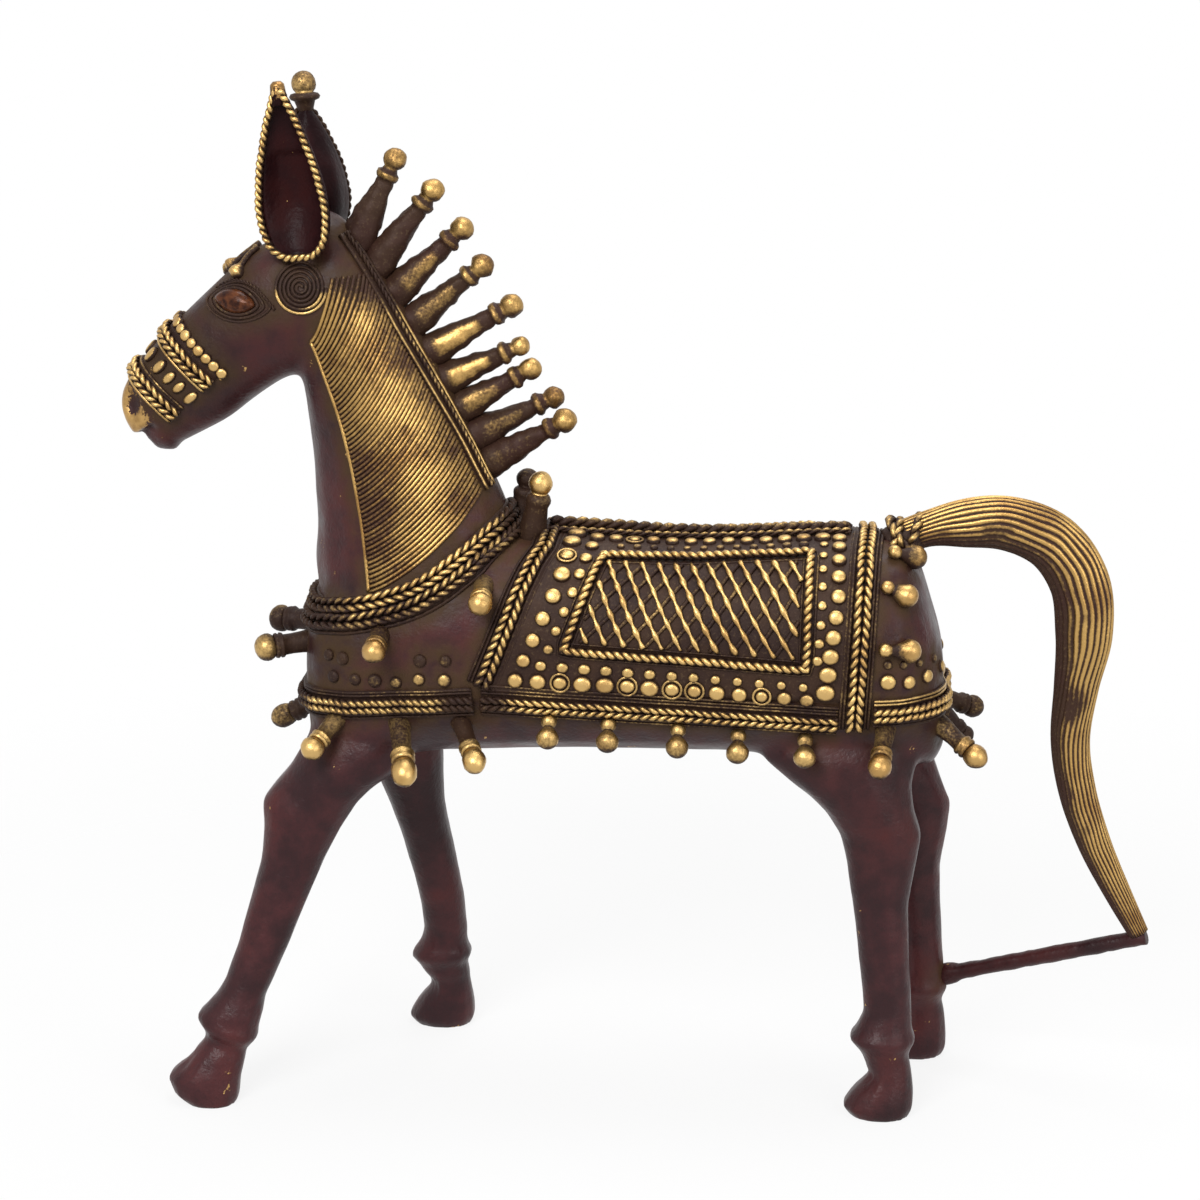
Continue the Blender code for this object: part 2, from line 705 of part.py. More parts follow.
def build_neck_side(side, label, tree, cutters):
    """The wound wire panel on one side of the neck, and the edging between it and the mane."""
    rows = 2 * WINDING_WIRES + 1
    grid = np.zeros((rows, WINDING_STEPS + 1, 3))
    inward = np.zeros_like(grid)
    for i, u in enumerate(np.linspace(0, 1, rows)):
        low = np.interp(u, (0, 1), WINDING_THROAT)
        high = np.interp(u, (0, 1), WINDING_CREST)
        for j, v in enumerate(np.linspace(0, 1, WINDING_STEPS + 1)):
            edge = np.interp(high, *zip(*EDGING_RUN)) + WINDING_MARGIN
            angle = (119 + 11 * u**3) * (1 - v) + edge * v
            hit, normal = neck_hit(tree, low + (high - low) * v**1.5, angle, side)
            lift = WIRE_LIFT[i % 2] * MM
            grid[i, j] = hit + normal * lift
            inward[i, j] = -normal * (SKIN_DEPTH + lift)
    shape = bmesh.new()
    add_patch(shape, grid, inward)
    seat(piece(f"{label}_neck_winding", shape, BRASS), *cutters)

    parts = np.linspace(EDGING_RUN[0][0], EDGING_RUN[-1][0], 12)
    found = [neck_hit(tree, part, np.interp(part, *zip(*EDGING_RUN)), side) for part in parts]
    shape = bmesh.new()
    points, normals = (np.array(v) for v in zip(*found))
    add_strap(shape, points, normals, EDGING_WIDTH * MM, EDGING_THICKNESS * MM, rows=1)
    edging = piece(f"{label}_mane_edging", shape, PATINA)
    return clearance_of(edging)


def ear_outline(u):
    """Half width of the ear's leaf, from its round foot to its point."""
    return EAR_HALF_WIDTH * MM * sin(pi * u**0.62) ** 0.75


def build_ear(side, label, cutters):
    """A cupped leaf with a twisted rope laid round its rim."""
    base, tip, facing = (np.array(v, float) * (1, -side, 1) for v in (EAR_BASE, EAR_TIP, EAR_FACING))
    base, tip = base * MM, tip * MM
    if side > 0:
        base, tip = base + mm(*RIGHT_EAR_SHIFT[0]), tip + mm(*RIGHT_EAR_SHIFT[1])
    upward = unit(tip - base)
    facing = unit(facing - upward * (facing @ upward))
    across = np.cross(upward, facing)
    reach = float(np.linalg.norm(tip - base))
    spread = np.linspace(-1, 1, 5)
    rings, rim = [], []
    for u in (0.02, 0.07, 0.16, 0.28, 0.45, 0.62, 0.78, 0.91, 0.985):
        half = ear_outline(u)
        fullness = half / (EAR_HALF_WIDTH * MM)
        middle = base + upward * u * reach
        bowl = [middle + across * v * half - facing * EAR_CUP * MM * fullness * (1 - v * v) for v in spread]
        wall = EAR_WALL * MM * (0.35 + 0.65 * fullness)
        back = [p - facing * wall * (1.15 - 0.4 * v * v) for p, v in zip(bowl, spread)]
        rings.append(bowl + back[::-1])
        rim.append((bowl[0], bowl[-1]))
    shape = bmesh.new()
    add_loft(shape, rings)
    seat(piece(f"{label}_ear", shape, PATINA), *cutters)

    loop = np.array([r[0] for r in rim] + [r[1] for r in rim[::-1]])
    loop = np.vstack([loop, loop[:1]]) + facing * (ROPE_RADIUS + 0.7) * MM
    knots = np.r_[0, np.cumsum(np.linalg.norm(np.diff(loop, axis=0), axis=1))]
    points = smooth(knots, loop, np.linspace(0, knots[-1], EAR_ROPE_STEPS + 1)[:-1])
    shape = bmesh.new()
    add_rope(shape, points, np.tile(facing, (len(points), 1)), ROPE_RADIUS * MM, closed=True)
    seat(piece(f"{label}_ear_rope", shape, BRASS), *cutters)
    return tip, upward


def build_ear_knob(tip, upward):
    shape = bmesh.new()
    add_turned(shape, tip, upward, np.array(EAR_KNOB_PROFILE) * MM, SPIKE_SIDES)
    piece("right_ear_knob", shape, BRASS)


def side_point(tree, x, z, side):
    points, normals = drape(tree, [mm(x, 0, z)], [(0, side, 0)])
    return points[0], normals[0]


def build_eye(side, label, tree, cutter):
    """An almond boss inside a raised lid."""
    centre, normal = side_point(tree, *EYE_PLACE, side)
    along = np.array((HEAD_WAY[0], 0, HEAD_WAY[1] * 0.35))
    along = unit(along - normal * (along @ normal))
    up = np.cross(normal, along)
    angle = 2 * pi * (np.arange(10) + 0.5) / 10
    rings = []
    for scale, height in ((1.0, -3.0), (1.0, 0.7), (0.84, 1.0), (0.7, 0.5), (0.4, 2.0), (0.1, 2.3)):
        wide = EYE_HALF_SIZE[0] * MM * scale * np.cos(angle)
        high = EYE_HALF_SIZE[1] * MM * scale * np.sin(angle) * np.abs(np.sin(angle)) ** 0.5
        rings.append(centre + normal * height * MM + np.outer(wide, along) + np.outer(high, up))
    shape = bmesh.new()
    add_loft(shape, rings)
    seat(piece(f"{label}_eye", shape, PATINA), cutter)


def build_cheek_spiral(side, label, tree):
    """A wax thread coiled flat on the cheek."""
    steps = SPIRAL_STEPS * SPIRAL_TURNS
    turn = np.linspace(0, 2 * pi * SPIRAL_TURNS, steps)
    radius = np.linspace(SPIRAL_RADII[0], SPIRAL_RADII[1], steps)
    xs, zs = SPIRAL_PLACE[0] + radius * np.cos(turn), SPIRAL_PLACE[1] + radius * np.sin(turn)
    targets = [mm(x, 0, z) for x, z in zip(xs, zs)]
    points, normals = drape(tree, targets, [(0, side, 0)] * steps)
    across, out = path_frame(points, normals, False)
    section = ((-0.75, 0.7), (0.75, 0.7), (0.55, 1.5), (-0.55, 1.5))
    rings = [[p + (a * w + o * h) * MM for w, h in section] for p, a, o in zip(points, across, out)]
    shape = bmesh.new()
    add_loft(shape, rings)
    piece(f"{label}_cheek_spiral", shape, PATINA)


def build_forelock(tree, cutters):
    """Three drops on threads that hang from the poll over the forehead."""
    strands = []
    for y in (0, -5.5, 5.5):
        root, _ = drape(tree, [mm(-88, 0.25 * y, 205)], [(-0.55, 0, 0.8)])
        tip, _ = drape(tree, [mm(-98.5, y, 197)], [(-0.6, 0, 0.8)])
        reach = float(np.linalg.norm(tip[0] - root[0]))
        profile = ((-1 * MM, 1.5 * MM), (reach * 0.6, 0.9 * MM), (reach * 0.8, 1.9 * MM), (reach, 1.4 * MM))
        shape = bmesh.new()
        add_turned(shape, root[0], tip[0] - root[0], profile, DROP_SIDES)
        strands.append(piece(f"forelock_strand_{len(strands)}", shape, BRASS))
    forelock = strands[0]
    forelock.name = "forelock"
    for strand in strands[1:]:
        join_on(forelock, strand)
    seat(forelock, *cutters)


def build_nosebands(tree):
    """Braided bands over the muzzle, open under the jaw."""
    top = np.array((HEAD_WAY[1], 0, -HEAD_WAY[0]))
    sweep = np.radians(np.linspace(-NOSE_BAND_SWEEP, NOSE_BAND_SWEEP, 15))
    ways = [cos(a) * top + sin(a) * np.array((0, 1, 0)) for a in sweep]
    for name, (x, z, width) in NOSE_BANDS.items():
        points, normals = drape(tree, [mm(x, 0, z)] * len(ways), ways)
        shape = bmesh.new()
        add_strap(shape, points, normals, width * MM, NOSE_BAND_THICKNESS * MM)
        piece(name, shape, BRASS)


# Bands, borders and pegs of the trappings


def end_band_path(tree, start, turn, end_height, outward):
    """A band's path along one flank, round an end of the barrel and back along the other flank."""
    straight = [(x, 0, z) for x, z in np.linspace(start, turn, 4)[:-1]]
    fan = np.radians(np.linspace(-90, 90, 11))
    round_end = [(turn[0], 0, turn[1] + (end_height - turn[1]) * cos(a)) for a in fan]
    ways = [(0, -1, 0)] * 3 + [(outward * cos(a), sin(a), 0) for a in fan] + [(0, 1, 0)] * 3
    return drape(tree, [mm(*place) for place in straight + round_end + straight[::-1]], ways)


def both_sides(pegs):
    """Pegs of the left side followed by their mirror images."""
    return [*pegs, *((mirrored(root), mirrored(way), stretch) for root, way, stretch in pegs)]


def band_pegs(name, pegs, tree):
    """Bell pegs rooted on the barrel's skin, as one shape to join to a band."""
    shape = bmesh.new()
    for root, way, stretch in pegs:
        skin, _, _, _ = tree.find_nearest(Vector(mm(*root)))
        add_turned(shape, skin, way, np.array(PEG_PROFILE) * MM * (stretch, 1), PEG_SIDES)
    return piece(name, shape, BRASS)


def build_end_band(name, route, outward, pegs, tree, cutters):
    """A braided band round the chest or the rump, with its bell pegs."""
    points, normals = end_band_path(tree, *route, outward)
    shape = bmesh.new()
    add_strap(shape, points, normals, BAND_WIDTH * MM, BAND_THICKNESS * MM)
    band = piece(name, shape, BRASS)
    join_on(band, band_pegs(name + "_pegs", pegs, tree))
    seat(band, *cutters)


def build_hem(side, label, tree, torso_solid):
    """The braided hem of the cloth along one flank, with the drops that hang from it."""
    route = np.linspace(*HEM_RUN, 11)
    points, normals = drape(tree, [mm(x, 0, z) for x, z in route], [(0, side, 0)] * len(route))
    shape = bmesh.new()
    add_strap(shape, points, normals, BAND_WIDTH * MM, BAND_THICKNESS * MM)
    hem = piece(f"{label}_hem", shape, BRASS)
    shape = bmesh.new()
    for x in BELLY_DROPS_X:
        root, _ = side_point(tree, x, np.interp(x, *zip(*HEM_RUN)) - BAND_WIDTH / 2 + 0.6, side)
        way = np.array(BELLY_DROP_WAY) * (1, -side, 1)
        add_turned(shape, root, way, np.array(DROP_PROFILE) * MM, DROP_SIDES)
    drops = piece(f"{label}_hem_drops", shape, BRASS)
    seat(drops, torso_solid)
    join_on(hem, drops)


def over_back(tree, border):
    """Surface points of a strap laid over the back from one flank to the other."""
    reach = border[0][-1]
    sweep = np.linspace(-reach, reach, 17)
    targets = [mm(np.interp(abs(a), *border), 0, TRUNK_AXIS_Z) for a in sweep]
    ways = [(0, sin(radians(a)), cos(radians(a))) for a in sweep]
    return drape(tree, targets, ways)


def build_borders(tree, torso_solid, collar_solid):
    """The braided borders at the front and the back of the cloth; the rear one carries the rump drops."""
    points, normals = over_back(tree, FRONT_BORDER)
    shape = bmesh.new()
    add_strap(shape, points, normals, BORDER_WIDTH * MM, BORDER_THICKNESS * MM)
    front = piece("front_border", shape, BRASS)
    front_solid = clearance_of(front)
    seat(front, torso_solid, collar_solid)

    points, normals = over_back(tree, REAR_BORDER)
    shape = bmesh.new()
    add_strap(shape, points, normals, BORDER_WIDTH * MM, BORDER_THICKNESS * MM)
    rear = piece("rear_border", shape, BRASS)
    shape = bmesh.new()
    for start, towards in RUMP_DROPS:
        for side in (-1, 1):
            root, normal = side_point(tree, *start, side)
            end, _ = side_point(tree, *towards, side)
            lift = normal * RUMP_DROP_LIFT * MM
            add_turned(shape, root + lift, end - root, np.array(DROP_PROFILE) * MM, DROP_SIDES)
    join_on(rear, piece("rump_drops", shape, BRASS))
    seat(rear, torso_solid)
    return front_solid


def build_collar(tree, cutters):
    """The plaited collar: low on the chest, high at the withers, sagging over the shoulders."""
    tilt = radians(COLLAR_TILT)
    back, normal = np.array((cos(tilt), 0, sin(tilt))), np.array((-sin(tilt), 0, cos(tilt)))
    sweep = 2 * pi * np.arange(COLLAR_STEPS) / COLLAR_STEPS
    ways = [cos(a) * back + sin(a) * np.array((0, 1, 0)) for a in sweep]
    targets = [mm(*COLLAR_CENTRE) - normal * COLLAR_SAG * MM * sin(a) ** 2 for a in sweep]
    points, _ = drape(tree, targets, ways)
    width, thickness = COLLAR_WIDTH * MM, COLLAR_THICKNESS * MM
    shape = bmesh.new()
    add_strap(shape, points, np.array(ways), width, thickness, True, 3, -0.4 * SKIN_DEPTH)
    collar = piece("collar", shape, BRASS)
    solid = clearance_of(collar)
    seat(collar, *cutters)
    return solid


def build_pegs(pegs, tree, profile, cutters):
    """Free-standing bell pegs, one pair to each entry."""
    for name, (root, way, shift) in pegs.items():
        right_root = np.add(mirrored(root), shift)
        for label, place, direction in (("left", root, way), ("right", right_root, mirrored(way))):
            skin, _, _, _ = tree.find_nearest(Vector(mm(*place)))
            shape = bmesh.new()
            add_turned(shape, skin, direction, np.array(profile) * MM, PEG_SIDES)
            seat(piece(f"{label}_{name}_peg", shape, BRASS), *cutters)


# Saddle cloth


def torso_ring_point(x, angle, lift):
    """A point over the barrel at x, at one of its ring angles, raised by lift (mm)."""
    rows = between(TORSO_STATIONS, 1.0)
    z, w, h = (np.interp(x, rows[:, 0], rows[:, k]) for k in (1, 2, 3))
    c, s = cos(radians(angle)), sin(radians(angle))
    power = 2 / TORSO_SQUARENESS
    return mm(x, np.sign(c) * abs(c) ** power * (w + lift), z + np.sign(s) * abs(s) ** power * (h + lift))


def panel_place(u, v):
    """Flank x and z of a place on the lattice panel: u from the front to the back, v from the bottom up."""
    low = np.add(PANEL_BOTTOM[0], u * np.subtract(PANEL_BOTTOM[1], PANEL_BOTTOM[0]))
    high = np.add(PANEL_TOP[0], u * np.subtract(PANEL_TOP[1], PANEL_TOP[0]))
    return low + v * (high - low)


def build_cloth():
    """One cloth over the back, studded round both lattice panels."""
    ring_step = 360 / TORSO_SIDES
    hang = max(CLOTH_HANG)
    angles = [-hang] + [ring_step * (k + 0.5) for k in range(TORSO_SIDES // 2)] + [180 + hang]
    margin = BORDER_WIDTH / 2 + 0.8
    rings = []
    for angle in angles:
        _, across, height = torso_ring_point(TORSO_MID_X, angle, 0) / MM
        fall = degrees(atan2(abs(across), height - TRUNK_AXIS_Z))
        front = np.interp(fall, *FRONT_BORDER) + margin
        rear = np.interp(fall, *REAR_BORDER) - margin
        xs = np.linspace(front, rear, CLOTH_COLUMNS)
        low_hem = np.interp(xs, (xs[0], xs[-1]), CLOTH_HANG)
        edge = np.clip(angle, -low_hem, 180 + low_hem)
        under = [torso_ring_point(x, a, CLOTH_LIFT) for x, a in zip(xs, edge)]
        over = [torso_ring_point(x, a, CLOTH_LIFT + CLOTH_THICKNESS) for x, a in zip(xs, edge)]
        rings.append(under + over[::-1])
    shape = bmesh.new()
    add_loft(shape, rings)
    cloth = piece("saddle_cloth", shape, PATINA)

    low, high, upright = STUD_COUNTS
    places = [(u, -0.28) for u in np.linspace(-0.12, 1.08, low)]
    places += [(u, 1.1) for u in np.linspace(-0.04, 1.05, high)]
    places += [(u, v) for u in (-0.12, 1.08) for v in np.linspace(0.05, 0.9, upright)]
    cloth_skin = surface_of(cloth)
    profile = mm(-0.6, STUD_RADIUS, STUD_HEIGHT, 0.6 * STUD_RADIUS).reshape(-1, 2)
    shape = bmesh.new()
    for side in (-1, 1):
        for place in places:
            point, normal = side_point(cloth_skin, *panel_place(*place), side)
            add_turned(shape, point, normal, profile, STUD_SIDES)
    join_on(cloth, piece("cloth_studs", shape, BRASS))
    return cloth_skin


def panel_hit(skin, u, v, side, lift):
    """A place inside the panel's rope frame, raised by lift (mm) over the cloth."""
    point, normal = side_point(skin, *panel_place(0.045 + 0.91 * u, 0.15 + 0.70 * v), side)
    return point + normal * lift * MM


def build_panel(side, label, skin):
    """The panel of slanting beaded threads on one flank, inside its rope frame."""
    slant = LATTICE_SLANT
    starts = np.linspace(-slant + 0.04, 1 - 0.04, 2 * LATTICE_THREADS + 1)
    rings = []
    for i, start in enumerate(starts):
        top = min(1.0, 1 + start / slant)
        bottom = max(0.0, 1 - (1 - start) / slant)
        over, under = [], []
        for j, v in enumerate(np.linspace(top, bottom, LATTICE_BEADS + 1)):
            bead = LATTICE_BEAD_SWELL if (i // 2 + j) % 2 == 0 else 0.0
            lift = LATTICE_THREAD_LIFT + bead if i % 2 else LATTICE_WEB_LIFT
            over.append(panel_hit(skin, start + slant * (1 - v), v, side, lift))
        for v in np.linspace(bottom, top, 4):
            under.append(panel_hit(skin, start + slant * (1 - v), v, side, LATTICE_FOOT_LIFT))
        rings.append(over + under)
    shape = bmesh.new()
    add_loft(shape, rings)
    piece(f"{label}_lattice", shape, BRASS)

    loop = [(u, 0) for u in np.linspace(0, 1, 12)] + [(1, v) for v in (0.25, 0.5, 0.75)]
    loop += [(u, 1) for u in np.linspace(1, 0, 12)] + [(0, v) for v in (0.75, 0.5, 0.25)]
    found = [side_point(skin, *panel_place(*place), side) for place in loop]
    points, normals = (np.array(v) for v in zip(*found))
    shape = bmesh.new()
    add_rope(shape, points + normals * (ROPE_RADIUS + 0.6) * MM, normals, ROPE_RADIUS * MM, closed=True)
    piece(f"{label}_panel_rope", shape, BRASS)


def build_spine_rope(skin):
    xs = np.linspace(FRONT_BORDER[1][0] + 5, REAR_BORDER[1][0] - 5, 22)
    points, normals = drape(skin, [mm(x, 0, TRUNK_AXIS_Z) for x in xs], [(0, 0, 1)] * len(xs))
    shape = bmesh.new()
    add_rope(shape, points + normals * (ROPE_RADIUS + 0.6) * MM, normals, ROPE_RADIUS * MM)
    piece("spine_rope", shape, BRASS)


# Assembly, from the core outwards

torso, torso_solid = build_torso()
neck, neck_solid = build_neck(torso_solid)
head, head_solid = build_head(neck_solid)
front_left_solid = build_leg("front_left_leg", FRONT_LEFT_UPPER, STRIDING_FOOT, 0, torso_solid)
front_right_solid = build_leg("front_right_leg", FRONT_RIGHT_UPPER, FOOT_STATIONS, 0, torso_solid)
hind_left_solid = build_leg("hind_left_leg", HIND_UPPER, FOOT_STATIONS, 0, torso_solid)
hind_right_solid = build_leg("hind_right_leg", HIND_UPPER, FOOT_STATIONS, HIND_RIGHT_SHIFT, torso_solid)
tail_solid, tail_tip = build_tail(torso_solid)
build_brace(tail_tip, tail_solid, hind_right_solid)

barrel = surface_of(torso)
trunk = surface_of(torso, neck)
skull = surface_of(head)
nape = surface_of(neck)
cheeks = surface_of(head, neck)

collar_solid = build_collar(trunk, (torso_solid, neck_solid))
front_border_solid = build_borders(barrel, torso_solid, collar_solid)
cloth_skin = build_cloth()
build_spine_rope(cloth_skin)
for side, label in ((-1, "left"), (1, "right")):
    build_panel(side, label, cloth_skin)
    build_hem(side, label, barrel, torso_solid)
front_cutters = (torso_solid, front_left_solid, front_right_solid)
hind_cutters = (torso_solid, hind_left_solid, hind_right_solid)
chest_pegs = [*both_sides(BREAST_PEGS[1:]), BREAST_PEGS[0], BREAST_FRONT_PEG]
build_end_band("breast_band", BREAST_BAND, -1, chest_pegs, barrel, front_cutters)
rump_pegs = [*both_sides([RUMP_FLANK_PEG]), *RUMP_BACK_PEGS]
build_end_band("rump_band", RUMP_BAND, 1, rump_pegs, barrel, hind_cutters)
peg_cutters = (torso_solid, neck_solid, collar_solid, front_border_solid)
build_pegs(COLLAR_PEGS, trunk, PEG_PROFILE, peg_cutters)
build_pegs(WITHERS_PEGS, trunk, WITHERS_PEG_PROFILE, peg_cutters)

edgings = []
for side, label in ((-1, "left"), (1, "right")):
    edgings.append(build_neck_side(side, label, nape, (neck_solid, torso_solid, head_solid, collar_solid)))
    ear_tip, ear_way = build_ear(side, label, (head_solid, neck_solid))
    build_eye(side, label, skull, head_solid)
    build_cheek_spiral(side, label, cheeks)
build_ear_knob(ear_tip, ear_way)
build_mane(neck_solid, edgings)
build_forelock(skull, (head_solid, neck_solid))
build_nosebands(skull)
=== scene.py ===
"""A walking brass horse in the lost-wax thread style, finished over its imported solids.

The sections follow its making: a clay core, the body that is poured round it, and the wax threads, balls and
pegs that are laid on before the pour. Handling has rubbed the raised work bright and left the hollows brown.
Places are in metres; sizes written in millimetres are multiplied by MM.
"""

from math import cos, pi, radians, sin

import bmesh
import bpy
import numpy as np
from mathutils import Matrix, Vector, noise
from mathutils.bvhtree import BVHTree
from mathutils.kdtree import KDTree


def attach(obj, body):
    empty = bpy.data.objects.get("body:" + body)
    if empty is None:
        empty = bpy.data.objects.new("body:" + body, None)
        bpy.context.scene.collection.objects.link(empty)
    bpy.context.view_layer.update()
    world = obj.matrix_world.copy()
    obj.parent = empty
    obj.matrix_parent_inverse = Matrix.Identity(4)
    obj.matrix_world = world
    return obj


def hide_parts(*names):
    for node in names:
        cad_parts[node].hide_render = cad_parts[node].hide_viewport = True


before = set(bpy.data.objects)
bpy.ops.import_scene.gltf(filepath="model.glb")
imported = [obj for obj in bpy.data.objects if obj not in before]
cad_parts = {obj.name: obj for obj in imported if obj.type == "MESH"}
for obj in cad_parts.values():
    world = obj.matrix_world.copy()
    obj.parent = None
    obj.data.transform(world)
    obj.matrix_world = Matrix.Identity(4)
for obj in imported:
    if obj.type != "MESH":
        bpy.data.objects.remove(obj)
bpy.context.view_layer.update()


# Clay core
# Sun-dried clay and rice husk, baked hard inside the casting when the brass was poured round it.
# It lies hidden: the skin runs on over the plugged vent under the belly, where it leaves a shallow dimple.

MM = 0.001
HUSK_SIZE = 0.8 * MM
CLAY_BROWN, HUSK_TAN = (0.22, 0.12, 0.07), (0.40, 0.26, 0.17)


class Nodes:
    """A tree of shader nodes, wired up in code."""

    def __init__(self, tree):
        self.tree = tree

    def feed(self, socket, value):
        if isinstance(value, bpy.types.NodeSocket):
            self.tree.links.new(value, socket)
        else:
            socket.default_value = value

    def node(self, kind, inputs, **settings):
        made = self.tree.nodes.new("ShaderNode" + kind)
        for key, value in settings.items():
            setattr(made, key, value)
        for key, value in inputs.items():
            self.feed(made.inputs[key], value)
        return made

    def sums(self, operation, first, second):
        return self.node("Math", {0: first, 1: second}, operation=operation).outputs[0]

    def plus(self, first, second):
        return self.sums("ADD", first, second)

    def times(self, first, second):
        return self.sums("MULTIPLY", first, second)

    def most(self, first, second):
        return self.sums("MAXIMUM", first, second)


class Finish(Nodes):
    """A material built from procedural nodes round one Principled shader."""

    def __init__(self, name):
        self.material = bpy.data.materials.new(name)
        self.material.use_nodes = True
        super().__init__(self.material.node_tree)
        self.shader = self.tree.nodes["Principled BSDF"]
        self.place = self.tree.nodes.new("ShaderNodeTexCoord").outputs["Object"]

    def grain(self, size, detail=3.0, roughness=0.55):
        """Noise with lumps about size metres across."""
        inputs = {"Vector": self.place, "Scale": 1 / size, "Detail": detail, "Roughness": roughness}
        return self.node("TexNoise", inputs).outputs["Fac"]

    def worn(self, name):
        """How far a point is rubbed, grimed or darkened, as stored on the mesh."""
        return self.node("Attribute", {}, attribute_name=name).outputs["Fac"]

    def ease(self, value, low, high, start=0.0, end=1.0):
        """Value eased from start to end while it goes from low to high."""
        inputs = {"Value": value, "From Min": low, "From Max": high, "To Min": start, "To Max": end}
        return self.node("MapRange", inputs, interpolation_type="SMOOTHSTEP").outputs["Result"]

    def blend(self, share, first, second):
        first, second = (c if isinstance(c, bpy.types.NodeSocket) else (*c, 1.0) for c in (first, second))
        return self.node("Mix", {0: share, 6: first, 7: second}, data_type="RGBA").outputs[2]

    def dress(self, colour, roughness, metallic, height, depth, gloss=0.5):
        """Feeds the shader; height is raised by depth metres as a bump."""
        bump = self.node("Bump", {"Distance": depth, "Height": height})
        looks = {
            "Base Color": colour,
            "Roughness": roughness,
            "Metallic": metallic,
            "Normal": bump.outputs["Normal"],
            "Specular IOR Level": gloss,
        }
        for key, value in looks.items():
            self.feed(self.shader.inputs[key], value)
        return self.material


def baked_clay():
    finish = Finish("baked_clay")
    husk = finish.grain(HUSK_SIZE, 5.0)
    colour = finish.blend(finish.ease(husk, 0.35, 0.65), CLAY_BROWN, HUSK_TAN)
    return finish.dress(colour, 0.92, 0.0, husk, 0.3 * MM)


core_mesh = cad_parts["clay_core"].data
core_mesh.materials.clear()
core_mesh.materials.append(baked_clay())


# Body, neck, head and legs
# One pour of brass over the core, filed smooth and darkened to a plum-brown patina under a thin lacquer.
# The solids are run together into one skin, evened out as a thumb evens wax and parted again at hidden seams.

SIDES = ((-1, "left"), (1, "right"))
BODY_NODES = ("torso", "neck", "head", "front_left_leg", "front_right_leg", "hind_left_leg", "hind_right_leg")
SWELL = 0.4 * MM
VOXEL = 0.75 * MM
WELD = 0.005 * MM
# Radius, lower and upper end of the plug that closes the vent while the skin is run together
VENT_STOPPER = (7.5 * MM, 92.5 * MM, 100 * MM)
# How far the skin is evened out, by height and by x along the muzzle
LEG_EVENING = ((0, 0.12), (24 * MM, 0.12), (36 * MM, 0.3), (76 * MM, 0.3), (96 * MM, 1.0))
MUZZLE_EVENING = ((-122 * MM, 0.25), (-112 * MM, 1.0))
EVENING_ROUNDS = 34
MUZZLE_REAR, MUZZLE_FOOT = -108 * MM, 150 * MM
MOUTH_CORNER, MOUTH_SLOPE = (-118.5 * MM, 170.2 * MM), radians(35)
MOUTH_HALF_HEIGHT, MOUTH_DEPTH = 0.9 * MM, 2.2 * MM
LIP_SHIFT = (3.2 * MM, 0, -0.6 * MM)
NOSTRIL, NOSTRIL_DEPTH = (-125.5 * MM, 7.2 * MM, 175.0 * MM), 1.6 * MM
NOSTRIL_HALF = (2.7 * MM, 2.5 * MM, 3.4 * MM)
LUMP_SIZE, LUMP_HEIGHT = 9 * MM, 0.16 * MM
# Middle, reach and height of the hollows and swellings that a thumb leaves in wax (mm)
THUMB_MARKS = (
    ((-86, -24, 82), 6, -1.3),
    ((41.5, -20, 77), 7, -1.1),
    ((80, 20, 74), 7, -2.2),
    ((-101, 0, 171), 9, 1.1),
    ((-80, 0, 135.6), 6, 0.8),
    ((30.5, -16, 88), 5, 1.0),
    ((79, 0, 104), 9, -3.0),
    ((-81.5, -14, 216), 6, -2.6),
    ((-81.5, 14, 214), 6, -2.6),
)
# For each leg, by its end and side: the cuff's middle, height and slope, the pastern's drop and depth (mm)
FETLOCKS = {
    (-1, -1): (-101.5, 17.4, 0.37, 10.2, 2.6),
    (1, -1): (62, 18.2, 0, 8.2, 1.7),
    (-1, 1): (-54, 20.2, 0, 7.6, 1.4),
    (1, 1): (72, 18.2, 0, 8.2, 1.0),
}
FETLOCK_TOP = 40 * MM
# Height of the cuff's rim and depth of the groove under it, with the middle and reach of each (mm)
CUFF_RIM, CUFF_GROOVE, PASTERN_REACH = (0.8, 1.4, 1.9), (0.5, -2.5, 2.0), 3.2


def unit(vectors):
    vectors = np.asarray(vectors, float)
    return vectors / np.linalg.norm(vectors, axis=-1, keepdims=True)


def link(name, data):
    obj = bpy.data.objects.new(name, data)
    bpy.context.scene.collection.objects.link(obj)
    return obj


def poured_skin(names):
    """The named solids run together into one closed mesh."""
    wax = bmesh.new()
    for name in names:
        wax.from_mesh(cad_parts[name].data)
    bmesh.ops.remove_doubles(wax, verts=wax.verts, dist=WELD)
    wax.normal_update()
    for vertex in wax.verts:
        vertex.co += vertex.normal * SWELL
    radius, low, high = VENT_STOPPER
    middle = Matrix.Translation((0, 0, (low + high) / 2))
    bmesh.ops.create_cone(
        wax, cap_ends=True, segments=24, radius1=radius, radius2=radius, depth=high - low, matrix=middle
    )
    mesh = bpy.data.meshes.new("pour")
    wax.to_mesh(mesh)
    wax.free()
    mould = link("pour", mesh)
    run = mould.modifiers.new("run_together", "REMESH")
    run.mode = "VOXEL"
    run.voxel_size = VOXEL
    graph = bpy.context.evaluated_depsgraph_get()
    skin_mesh = bpy.data.meshes.new_from_object(mould.evaluated_get(graph))
    bpy.data.objects.remove(mould)
    return skin_mesh


def vectors_of(mesh, kind):
    """A mesh's points, for "co", or the directions it faces there, for "normal"."""
    values = np.empty(len(mesh.vertices) * 3)
    mesh.vertices.foreach_get(kind, values)
    return values.reshape(-1, 3)


def store_points(mesh, points):
    mesh.vertices.foreach_set("co", points.ravel())
    mesh.update()


